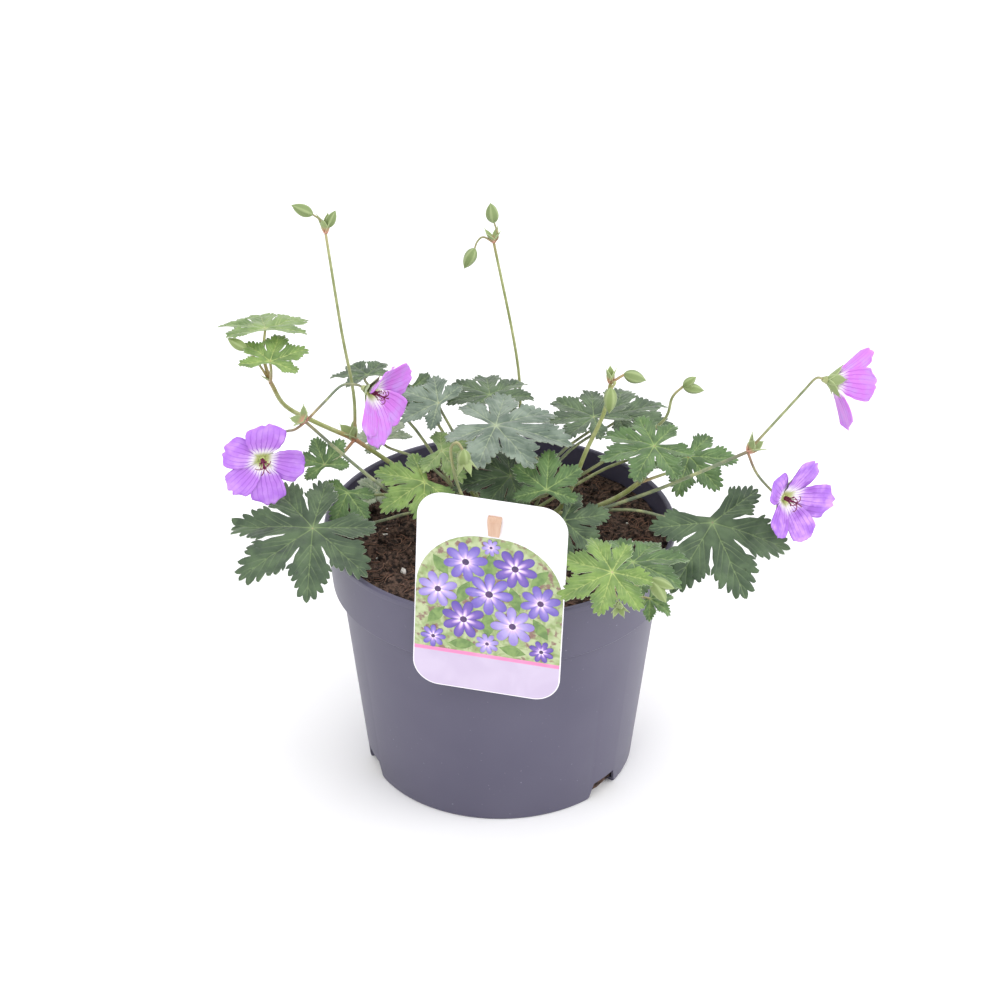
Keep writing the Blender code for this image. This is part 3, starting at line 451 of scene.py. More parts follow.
def printed_petals(name, inner, outer):
    """Ink of a printed daisy: pale in the middle, then violet with fine streaks and a darker edge."""
    made, node, place = surface(name, **COATED)
    out, around = (node("Attribute", out="Fac", attribute_name=way) for way in ("along", "across"))
    turns = node("Math", {0: around, 1: 45.0}, operation="MULTIPLY")
    wave = node("Math", {0: turns}, operation="SINE")
    streaks = node("Math", {0: wave, 1: 0.09}, operation="MULTIPLY")
    cloud = node("TexNoise", grains(place, 4.0, 2.0))
    cloud = node("Math", {0: cloud, 1: 0.5}, operation="MULTIPLY")
    reach = node("Math", {0: out, 1: streaks}, operation="ADD")
    shaded = node("Math", {0: reach, 1: cloud}, operation="ADD")
    edge = node("MapRange", {0: shaded, 1: 0.60, 2: 1.30}, **SMOOTH)
    body = node("Mix", {0: edge, 6: linear(inner), 7: linear(outer)}, 2, **RGBA)
    ring = node("MapRange", {0: reach, 1: 0.26, 2: 0.56}, **SMOOTH)
    blushed = node("Mix", {0: ring, 6: linear("#d3b4e0"), 7: body}, 2, **RGBA)
    middle = node("MapRange", {0: reach, 1: 0.12, 2: 0.34}, **SMOOTH)
    return finished(made, node("Mix", {0: middle, 6: linear("#ece4f0"), 7: blushed}, 2, **RGBA))


def beech():
    """Beech: pale pinkish wood with fine lengthwise grain."""
    made, node, place = surface("beech", Roughness=0.6)
    squeezed = node("Mapping", {"Vector": place, "Scale": (1.0, 1.0, 0.15)})
    grain = node("TexNoise", grains(squeezed, 1.2))
    colour = node("Mix", {0: grain, 6: linear("#b98e74"), 7: linear("#d8bca6")}, 2, **RGBA)
    return finished(made, colour, node("Bump", relief(grain, 0.3, 0.1)))


def smooth_path(points, per_span=6):
    """Points on a smooth curve that passes through all the given ones."""
    knots = [Vector(p) for p in points]
    ends = [2 * knots[0] - knots[1]] + knots + [2 * knots[-1] - knots[-2]]
    path = []
    for a, b, c, d in zip(ends, ends[1:], ends[2:], ends[3:]):
        for step in range(per_span):
            t = step / per_span
            path.append(0.5 * (2 * b + (c - a) * t + (2 * a - 5 * b + 4 * c - d) * t * t
                               + (3 * b - a - 3 * c + d) * t ** 3))
    return path + [knots[-1]]


def stalk(points, start, end, material, fresh=0.5, blush=(0.0, 0.0), sides=3, per_span=6):
    """A round stalk along a smooth curve, flushed pink towards either end as asked."""
    path = smooth_path(points, per_span)
    curve = bpy.data.curves.new("stalk", "CURVE")
    curve.dimensions = "3D"
    curve.bevel_depth = MM
    curve.bevel_resolution = sides
    curve.use_fill_caps = True
    spline = curve.splines.new("POLY")
    spline.points.add(len(path) - 1)
    for i, point in enumerate(path):
        spline.points[i].co = (*(point * MM), 1.0)
        spline.points[i].radius = start + (end - start) * i / (len(path) - 1)
    take(placed("stalk", curve))
    bpy.ops.object.convert(target="MESH")
    obj = bpy.context.object
    obj.data.materials.clear()
    obj.data.materials.append(material)
    first, last = path[0], path[-1]
    reach = max((last - first).length, 1.0)
    flush = []
    for v in obj.data.vertices:
        near_start = 1.0 - min((v.co / MM - first).length / min(14.0, reach), 1.0)
        near_end = 1.0 - min((v.co / MM - last).length / min(10.0, reach), 1.0)
        flush.append(max(blush[0] * near_start, blush[1] * near_end))
    attribute(obj, "fresh", [fresh] * len(obj.data.vertices))
    attribute(obj, "blush", flush)
    obj.data.shade_smooth()
    return obj


def sheet(columns, rows, place, material):
    """A grid shaped by a rule: place(x, t) for x from -1 to 1 across and t from 0 to 1 along."""
    obj = simple_body(bpy.ops.mesh.primitive_grid_add, x_subdivisions=columns, y_subdivisions=rows, size=2)
    across, along = [], []
    for v in obj.data.vertices:
        x, t = v.co.x, (v.co.y + 1) / 2
        across.append(x)
        along.append(t)
        v.co = Vector(place(x, t)) * MM
    attribute(obj, "across", across)
    attribute(obj, "along", along)
    obj.data.materials.append(material)
    obj.data.shade_smooth()
    return obj


def blade(root, along, face, length, width, curl=0.0, fresh=0.5, blush=0.0, awn=0.12):
    """A sepal or bract: boat-shaped, pointed, with pale ribs and edges."""
    along = Vector(along).normalized()
    face = (Vector(face) - along * Vector(face).dot(along)).normalized()
    side = along.cross(face)

    def place(x, t):
        body = min(t / (1.0 - awn), 1.0)
        share = max(math.sin(math.pi * min(0.12 + 0.88 * body, 1.0)) ** 0.62, 0.05)
        w = x * width / 2 * share
        boat = 0.22 * abs(x) ** 1.6 * width / 2 * share
        return Vector(root) + along * length * t + side * w + face * (boat + curl * length * t * t)

    obj = sheet(6, 12, place, SEPAL)
    layer = obj.data.attributes["across"].data
    ribs = [max(0.0, abs(d.value) - 0.7) / 0.3 * 0.8 + 0.35 * math.cos(d.value * 9.0) ** 8 for d in layer]
    attribute(obj, "rib", ribs)
    attribute(obj, "fresh", [fresh] * len(ribs))
    flush = [blush * max(0.0, 1.0 - d.value * 2.2) for d in obj.data.attributes["along"].data]
    attribute(obj, "blush", flush)
    return applied(obj, "SOLIDIFY", thickness=0.35 * MM, offset=0.0)


def whorl(root, along, count, length, width, spread, spin=0.0, fresh=0.5, blush=0.0, curl=0.0):
    """A ring of bracts or sepals round a stem's end."""
    along = Vector(along).normalized()
    across = Matrix.Rotation(spin, 3, along) @ along.orthogonal().normalized()
    lean = math.radians(spread)
    made = []
    for k in range(count):
        out = Matrix.Rotation(2 * math.pi * k / count, 3, along) @ across
        direction = along * math.cos(lean) + out * math.sin(lean)
        face = along * math.sin(lean) - out * math.cos(lean)
        made.append(blade(root, direction, face, length, width, curl, fresh, blush))
    return made


def bud(root, along, length, width, fresh=0.5):
    """A closed bud: five hairy sepals that meet in ridges, and end in a short beak."""
    along = Vector(along).normalized()
    across = along.orthogonal().normalized()
    side = along.cross(across)
    obj = simple_body(bpy.ops.mesh.primitive_uv_sphere_add, segments=30, ring_count=18, radius=1.0)
    ribs = []
    for v in obj.data.vertices:
        t = (v.co.z + 1) / 2
        angle = math.atan2(v.co.y, v.co.x)
        ridge = math.cos(2.5 * angle) ** 2
        beak = max(0.0, t - 0.80) / 0.20
        profile = math.sin(math.pi * min(t * 1.02, 1.0) ** 0.82) ** 0.75 if t < 0.995 else 0.0
        radius = width / 2 * profile * (0.90 + 0.10 * ridge) * (1.0 - 0.55 * beak)
        flat = math.hypot(v.co.x, v.co.y)
        shift = length * t ** (1.0 - 0.12 * beak)
        pole = 1.0 if flat > 1e-5 else 0.0
        radial = across * math.cos(angle) + side * math.sin(angle)
        v.co = (Vector(root) + along * shift + radial * radius * pole) * MM
        ribs.append(0.75 * ridge ** 6)
    attribute(obj, "rib", ribs)
    attribute(obj, "fresh", [fresh] * len(ribs))
    attribute(obj, "blush", [0.0] * len(ribs))
    obj.data.materials.append(SEPAL)
    obj.data.shade_smooth()
    return obj


def lobe_axes(lobes):
    """The angle between lobes, and each lobe's own angle and length."""
    spacing, lengths = LOBE_PLANS[lobes]
    last = len(lengths) - 1
    return spacing, [(k * spacing, lengths[abs(k)]) for k in range(-last, last + 1)]


def tooth(start, end, length):
    """One round tooth between two notches, with its tiny point, which leans outwards from the hub."""
    run = end - start
    out = Vector((run.y, -run.x)).normalized() * 0.55 + ((start + end) / 2).normalized() * 0.70
    out = out.normalized() * run.length * length
    return [start] + [start + run * t + out * h for t, h in (
        (0.04, 0.34), (0.14, 0.64), (0.30, 0.87), (0.47, 0.99), (0.54, 1.07), (0.60, 0.98), (0.76, 0.82),
        (0.90, 0.56), (0.97, 0.28))]


def kept_within(point, axis, limit):
    """The point, turned about the hub where it would pass into the next lobe."""
    angle = math.degrees(math.atan2(point.y, point.x)) - axis
    angle = (angle + 180.0) % 360.0 - 180.0
    turned = math.radians(axis + max(-limit, min(limit, angle)))
    return Vector((math.cos(turned), math.sin(turned))) * point.length


def leaf_outline(leaf, draw):
    """The toothed edge of a blade, with each tooth a little different from the next."""
    spacing, axes = lobe_axes(leaf.lobes)
    half = spacing / 2

    def polar(share, angle):
        a = math.radians(angle)
        return Vector((math.cos(a), math.sin(a))) * share * leaf.size

    edge = [polar(0.20, axes[0][0] - half)]
    for k, (axis, length) in enumerate(axes):
        length *= draw.uniform(0.95, 1.0)
        first = len(edge)
        left, right = ([polar((rho + draw.uniform(-0.015, 0.015)) * length,
                              axis + sign * (phi + draw.uniform(-0.03, 0.03)) * half)
                        for rho, phi in NOTCHES] for sign in (-1, 1))
        notches = left + right[::-1]
        edge.append(polar(SLIT_EDGE[0] * length, axis - SLIT_EDGE[1] * half))
        for a, b in zip(notches, notches[1:]):
            edge += tooth(a, b, draw.uniform(0.78, 1.02))
        edge += [notches[-1], polar(SLIT_EDGE[0] * length, axis + SLIT_EDGE[1] * half)]
        edge[first:] = [kept_within(p, axis, 0.985 * half) for p in edge[first:]]
        if k < len(axes) - 1:
            sinus = SINUS * min(length, axes[k + 1][1])
            edge += [polar(sinus + 0.05, axis + 0.93 * half), polar(sinus, axis + half),
                     polar(sinus + 0.05, axis + 1.07 * half)]
    edge.append(polar(0.20, axes[-1][0] + half))
    edge.append(polar(0.07, 180.0))
    return edge


def vein_lines(leaf):
    """Each vein as its two ends, and how strongly it shows at each."""
    spacing, axes = lobe_axes(leaf.lobes)
    half = spacing / 2
    lines = []
    for axis, length in axes:
        reach = length * leaf.size
        a = math.radians(axis)
        tip = Vector((math.cos(a), math.sin(a))) * reach
        lines.append((Vector((0.0, 0.0)), tip * 0.95, 1.0, 0.45))
        for start, rho, phi in SIDE_VEINS:
            for sign in (-1, 1):
                b = math.radians(axis + sign * phi * half)
                end = Vector((math.cos(b), math.sin(b))) * rho * reach
                lines.append((tip * start, end, 0.62, 0.18))
    return lines


def vein_strength(point, lines, size):
    """1 on a main vein by the hub, less along finer veins, and 0 a little way beside them."""
    best = 0.0
    for a, b, first, last in lines:
        run = b - a
        t = max(0.0, min(1.0, (point - a).dot(run) / run.length_squared))
        aside = (point - a - run * t).length
        best = max(best, (first + (last - first) * t) * (1.0 - aside / VEIN_HALF_WIDTH))
    hub = max(0.0, 1.0 - point.length / (0.16 * size))
    return max(best, 0.8 * hub * hub)


def blade_height(x, y, leaf, cup, wave, phase):
    """Shape of the blade out of its plane: arched, waved, and channelled along each lobe."""
    spacing, axes = lobe_axes(leaf.lobes)
    r = math.hypot(x, y) / leaf.size
    angle = math.degrees(math.atan2(y, x))
    off_axis = min(abs(angle - axis) for axis, _ in axes) / (spacing / 2)
    channel = 0.10 * r * min(off_axis, 1.0)
    return leaf.size * (channel - cup * r * r + wave * r * r * math.sin(math.radians(3 * angle) + phase))


def leaf_matrix(leaf):
    """The hub's frame: X along the central lobe, and Z out of the face, which leans one way."""
    lean = Matrix.Rotation(math.radians(leaf.toward), 4, "Z")
    tilt = Matrix.Rotation(math.radians(leaf.tilt), 4, "Y")
    heading = Matrix.Rotation(math.radians(leaf.heading - leaf.toward), 4, "Z")
    return Matrix.Translation(Vector(leaf.hub)) @ lean @ tilt @ heading


def spread_points(edge, lines, size):
    """Points inside a blade: along and beside each vein, and on a lattice between them."""
    points, taken = [], set()

    def offer(p, cell):
        key = (round(p.x / cell), round(p.y / cell), cell)
        if key not in taken:
            taken.add(key)
            points.append(p)

    for a, b, *_ in lines:
        run = b - a
        side = Vector((-run.y, run.x)).normalized()
        steps = max(2, int(run.length / 1.1))
        for i in range(steps + 1):
            for off in (0.0, VEIN_HALF_WIDTH, -VEIN_HALF_WIDTH):
                offer(a + run * (i / steps) + side * off, 0.25)
    near = {(round(p.x / 1.2), round(p.y / 1.2)) for p in points + edge}
    step = 1.7
    count = int(size / step) + 1
    for i in range(-count, count + 1):
        for j in range(-count, count + 1):
            p = Vector(((i + 0.5 * (j % 2)) * step, j * step * 0.87))
            if (round(p.x / 1.2), round(p.y / 1.2)) not in near:
                points.append(p)
    return points


def leaf_blade(leaf):
    """A blade with its teeth, veins and waves, thin and closed."""
    draw = random.Random(leaf.name)
    cup, wave, phase = draw.uniform(0.05, 0.16), draw.uniform(0.03, 0.07), draw.uniform(0, 6.3)
    edge = leaf_outline(leaf, draw)
    lines = vein_lines(leaf)
    loop = [(i, (i + 1) % len(edge)) for i in range(len(edge))]
    flat, _, triangles, *_ = delaunay_2d_cdt(edge + spread_points(edge, lines, leaf.size), loop, [], 1, 1e-4)
    used = sorted({i for t in triangles for i in t})
    order = {old: new for new, old in enumerate(used)}
    matrix = leaf_matrix(leaf)
    points, veins, margin = [], [], []
    for i in used:
        p = flat[i]
        strength = vein_strength(p, lines, leaf.size)
        z = blade_height(p.x, p.y, leaf, cup, wave, phase)
        r = p.length / leaf.size
        ripple = noise.noise(Vector((p.x, p.y, 40.0 * phase)) / 7.0) * (0.4 + 1.3 * r)
        ripple += 0.35 * noise.noise(Vector((p.x, p.y, 9.0 + 40.0 * phase)) / 2.6) * min(1.0, 2.0 * r)
        z += ripple - 0.45 * strength - 4.0 * max(r - 0.80, 0.0)
        points.append(matrix @ Vector((p.x, p.y, z)) * MM)
        veins.append(strength)
        # Painted highlight mask: zero up to four fifths of the way out, then growing towards the rim.
        margin.append(max(0.0, r - 0.80) * 2.5)
    mesh = bpy.data.meshes.new("blade")
    mesh.from_pydata(points, [], [tuple(order[i] for i in t) for t in triangles])
    for skin in SKINS[leaf.look]:
        mesh.materials.append(skin)
    obj = placed("blade", mesh)
    attribute(obj, "vein", veins)
    attribute(obj, "margin", margin)
    mesh.shade_smooth()
    return applied(obj, "SOLIDIFY", thickness=BLADE_THICKNESS * MM, offset=0.0, material_offset=1,
                   material_offset_rim=1)


def root_place(hub, ring):
    outward = Vector((hub[0], hub[1], 0.0)) - CROWN
    return CROWN + outward.normalized() * (5.0 + 4.5 * ring)


def petiole(leaf, fresh):
    """From the soil to the hub, which it meets from below."""
    turn = leaf_matrix(leaf).to_3x3()
    hub = Vector(leaf.hub)
    top = hub + turn @ Vector((0.0, 0.0, -0.1))
    under = hub + turn @ Vector((-0.05 * leaf.size, 0.0, -5.0))
    root = leaf.root if isinstance(leaf.root, Vector) else root_place(leaf.hub, leaf.root)
    collar = Vector((root.x, root.y, SOIL_LEVEL + 5.0))
    via = [Vector(p) for p in leaf.via]
    if not via:
        via = [collar.lerp(under, 0.5) + Vector((0.0, 0.0, 0.12 * (under - collar).length))]
    start = Vector((root.x, root.y, SOIL_LEVEL - 6.0))
    return stalk([start, collar] + via + [under, top], 0.95, 0.6, STEM, fresh, (0.7, 0.15))


def bloom_frame(bloom):
    """Z along the way the bloom faces, X level, and Y down."""
    z = Vector(bloom.facing).normalized()
    x = z.cross(Vector((0.0, 0.0, 1.0))).normalized()
    return Matrix.Translation(Vector(bloom.base)) @ Matrix((x, z.cross(x), z)).transposed().to_4x4()


def petal_width(t):
    """Half width of a petal as a share of the widest, from its claw to its tip."""
    for (a, low), (b, high) in zip(PETAL_WIDTHS, PETAL_WIDTHS[1:]):
        if t <= b:
            share = (t - a) / (b - a)
            return low + (high - low) * share * share * (3 - 2 * share)
    return PETAL_WIDTHS[-1][1]


def petal(bloom, shape, frame):
    """One petal, which bends back towards its tip, its edge waved and shallowly notched."""
    bend = math.radians(PETAL_BEND)
    start = math.radians(shape.opening) + bend * 0.5
    turn = frame @ Matrix.Rotation(math.radians(shape.angle), 4, "Z")
    draw = random.Random(f"{bloom.name}{shape.angle}")
    phase, ruffle, notch = draw.uniform(0, 6.3), draw.uniform(0.35, 0.8), draw.uniform(0.02, 0.06)
    off_centre = draw.uniform(-0.2, 0.2)

    def place(x, t):
        spread = x * petal_width(t)
        angle = start - bend * t
        mean = start - bend * t / 2
        tip = max(0.0, t - 0.8) * 5
        trim = shape.length * tip * (0.13 * x * x + notch * max(0.0, 1 - 3.5 * abs(x - off_centre)))
        trim += shape.length * tip * 0.012 * math.sin(9 * x + phase)
        reach = shape.length * t - trim
        sideways = spread * shape.half_width
        bow = 0.10 * abs(sideways) * (1.0 - t) + PETAL_TWIST * spread
        bow += ruffle * t * t * math.sin(3.4 * x + phase) - 0.55 * math.cos(2.2 * x) * t * (1 - t) * 2
        bow += 0.10 * math.sin(16 * x) * (1 - 0.6 * t)
        inward = 1.2 + reach * math.cos(mean) - bow * math.sin(angle)
        return turn @ Vector((inward, sideways, reach * math.sin(mean) + bow * math.cos(angle)))

    made = sheet(26, 22, place, PETAL[bloom.name])
    layer = made.data.attributes["across"].data
    for d in layer:
        d.value += phase
    return applied(made, "SOLIDIFY", thickness=PETAL_THICKNESS * MM, offset=0.0)


def petals(bloom):
    frame = bloom_frame(bloom)
    pieces = [petal(bloom, shape, frame) for shape in bloom.petals]
    heart = simple_body(bpy.ops.mesh.primitive_uv_sphere_add, segments=20, ring_count=10, radius=1.0)
    for v in heart.data.vertices:
        v.co = (frame @ Vector((v.co.x * 1.6, v.co.y * 1.6, v.co.z * 0.8))) * MM
    heart.data.materials.append(PETAL[bloom.name])
    attribute(heart, "along", [0.02] * len(heart.data.vertices))
    attribute(heart, "across", [0.0] * len(heart.data.vertices))
    heart.data.shade_smooth()
    shown(joined(bloom.name + "_petals_fine", pieces + [heart]), "petal", bloom.name + "_petals")


def column(bloom):
    """The style with its five curled stigmas, and ten stamens, each with its anther."""
    frame = bloom_frame(bloom)
    foot = DISC_THICKNESS / 2 + GAP
    style = [frame @ Vector((0, 0, foot + z)) for z in (-0.6, 3.0, 7.2)]
    pieces = [stalk(style, 0.75, 0.32, COLUMN, sides=2)]
    draw = random.Random(bloom.name)
    for k in range(5):
        turn = frame @ Matrix.Rotation(2 * math.pi * k / 5 + draw.uniform(-0.3, 0.3), 4, "Z")
        curl = draw.uniform(0.8, 1.1)
        arm = [turn @ Vector((x * curl, 0, foot + z)) for x, z in STIGMA_PATH]
        pieces.append(stalk(arm, 0.30, 0.17, COLUMN, sides=1, per_span=4))
    for k in range(10):
        turn = frame @ Matrix.Rotation(2 * math.pi * (k + 0.25) / 10, 4, "Z")
        long = (1.0 if k % 2 else 0.78) * draw.uniform(0.9, 1.05)
        arm = [turn @ Vector((x * long, 0, foot + z * long)) for x, z in STAMEN_PATH]
        pieces.append(stalk(arm, 0.25, 0.15, COLUMN, sides=1, per_span=4))
        anther = simple_body(bpy.ops.mesh.primitive_uv_sphere_add, segments=10, ring_count=6, radius=1.0)
        for v in anther.data.vertices:
            v.co = (arm[-1] + Vector((v.co.x * 0.28, v.co.y * 0.28, v.co.z * 0.5))) * MM
        anther.data.materials.append(COLUMN)
        pieces.append(anther)
    shown(joined(bloom.name + "_column_fine", pieces), "column", bloom.name + "_column")


def calyx_root(bloom):
    lean = math.radians(max(min(shape.opening for shape in bloom.petals) - 8.0, 2.0))
    return lean, -DISC_THICKNESS / 2 - GAP - 0.4 - DISC_RADIUS * math.tan(lean)


def calyx(bloom):
    """Five sepals behind the petals, on a small cup."""
    frame = bloom_frame(bloom)
    lean, back = calyx_root(bloom)
    lean += math.radians(8.0 + 0.35 * min(shape.opening for shape in bloom.petals))
    cup = [frame @ Vector((0, 0, back + z)) for z in (-1.8, -0.6, 0.3)]
    made = [stalk(cup, 1.2, 2.0, STEM, 0.6, sides=4)]
    for k in range(5):
        turn = (frame @ Matrix.Rotation(2 * math.pi * (k + 0.5) / 5, 4, "Z")).to_3x3()
        along = turn @ Vector((math.cos(lean), 0, math.sin(lean)))
        face = turn @ Vector((-math.sin(lean), 0, math.cos(lean)))
        root = frame @ Vector((0, 0, back)) + along * 0.4
        made.append(blade(root, along, face, SEPAL_LENGTH, SEPAL_WIDTH, -0.03, 0.6))
    return made


def stalk_end(bloom):
    frame = bloom_frame(bloom)
    _, back = calyx_root(bloom)
    return [frame @ Vector((0, 0, back - 5.0)), frame @ Vector((0, 0, back - 0.7))]


BLOOMS = {
    "left": Bloom("bloom_left", (-111.5, -22, 177), (0.2, -0.97, 0.0), (
        Petal(96, 12, 22, 8.2), Petal(168, 12, 19.6, 8.8), Petal(263, 12, 20, 9.6), Petal(332, 12, 20, 8),
        Petal(39, 12, 20.5, 7.4))),
    "upper": Bloom("bloom_upper", (-61, -12, 208), (0.82, -0.55, -0.12), (
        Petal(80, 26, 26.5, 8.8), Petal(126, 26, 24, 8.6), Petal(192, 26, 22, 9.8), Petal(278, 36, 19, 8),
        Petal(40, 32, 23, 8))),
    "far": Bloom("bloom_far", (154, -11, 212.7), (0.912, 0.22, -0.29), (
        Petal(60, 31, 24, 8.4), Petal(150, 42, 20, 6), Petal(240, 56, 18, 5.5), Petal(332, 40, 23, 7.8),
        Petal(263, 42, 23.5, 6))),
    "right": Bloom("bloom_right", (134.6, -17, 153.2), (0.62, -0.77, 0.08), (
        Petal(105, 24, 23.5, 7), Petal(163, 22, 25.5, 8.6), Petal(236, 24, 22.5, 7.8),
        Petal(311, 20, 18.5, 7.8), Petal(31, 34, 22.5, 6.5))),
}

BASAL_LEAVES = [
    Leaf("leaf_front_left", (-88, -35, 147), 45, 221, 20, -90, 7, "dark", 3,
         ((-27, 6, 127), (-41, 8, 130), (-60, -8, 134))),
    Leaf("leaf_right", (101, -20, 141), 42, -65, 38, -80, 5, "dark", Vector((24.0, 5.5, 0.0)),
         ((38, 8, 130), (54, 2, 135), (67, -4, 138), (84, -12, 138))),
    Leaf("leaf_front_right", (62, -51, 138), 29, 14, 2, -90, 7, "mid", 4,
         ((40, -12, 128), (54, -32, 130))),
    Leaf("leaf_centre_high", (-2, 10, 177), 39, -12, 5, -60, 7, "grey", -1, ((17, 7, 134), (18, 7, 160))),
    Leaf("leaf_back", (-5, 52, 171), 27, 95, 3, -90, 7, "dark", 1, ()),
    Leaf("leaf_back_centre", (46, 46, 162), 28, 138, 4, -90, 7, "dark", 2, ()),
    Leaf("leaf_back_right", (58, 62, 155), 31, 30, 2, -90, 5, "dark", 3, ()),
    Leaf("leaf_back_left", (-30, 38, 174), 22, 150, 22, -100, 5, "grey", 1, ()),
    Leaf("leaf_left_high", (-28, 14, 161), 26, -12, 4, -90, 5, "tender", 0, ()),
    Leaf("leaf_left_low", (-36, -4, 154), 27, 215, 24, -90, 5, "bright", 1, ()),
    Leaf("leaf_centre_low", (5, 4, 153), 29, 190, 18, -90, 7, "dark", 0, ()),
    Leaf("leaf_centre_front", (22, -18, 158), 22, 85, 42, -95, 5, "mid", 1.2, ()),
    Leaf("leaf_centre_under", (30, -20, 142), 25, -42, 30, -90, 5, "dark", 2.2, ((18, -7, 129),)),
    Leaf("leaf_right_high", (74, 10, 166), 30, 200, 9, -90, 7, "mid", 2, ((44, 22, 142), (60, 16, 154))),
    Leaf("leaf_far_left", (-65, 52, 182), 20, 120, -2, -90, 5, "dark", 3, ()),
    Leaf("leaf_far_centre", (-43, 60, 171), 16, -60, 48, -70, 5, "dark", 2, ()),
    Leaf("leaf_left_under", (-73, -4, 148), 19, 250, 26, -90, 5, "mid", 2, ()),
    Leaf("leaf_back_low", (-57, 62, 141), 19, 120, 12, -90, 5, "old", 3, ()),
    Leaf("leaf_old_low", (-60, 22, 134), 14, 190, 14, -60, 5, "old", 2, ()),
]


def rooted(x, y, points, start, end, fresh, blush=(0.5, 0.3)):
    """A stem from below the soil's surface up through the given points."""
    low = [Vector((x, y, SOIL_LEVEL - 6.0)), Vector((x, y, SOIL_LEVEL + 4.0))]
    return stalk(low + [Vector(p) for p in points], 0.70 * start, 0.72 * end, STEM, fresh, blush)


def branch(points, start, end, fresh=0.4, blush=(0.6, 0.2)):
    return stalk(points, 0.76 * start, 0.76 * end, STEM, fresh, blush)


def stem(name, *parts):
    """Joins a stem with what grows on it: single pieces, or lists of them."""
    pieces = [piece for part in parts for piece in (part if isinstance(part, list) else [part])]
    shown(joined(name + "_fine", pieces), "stem", name)


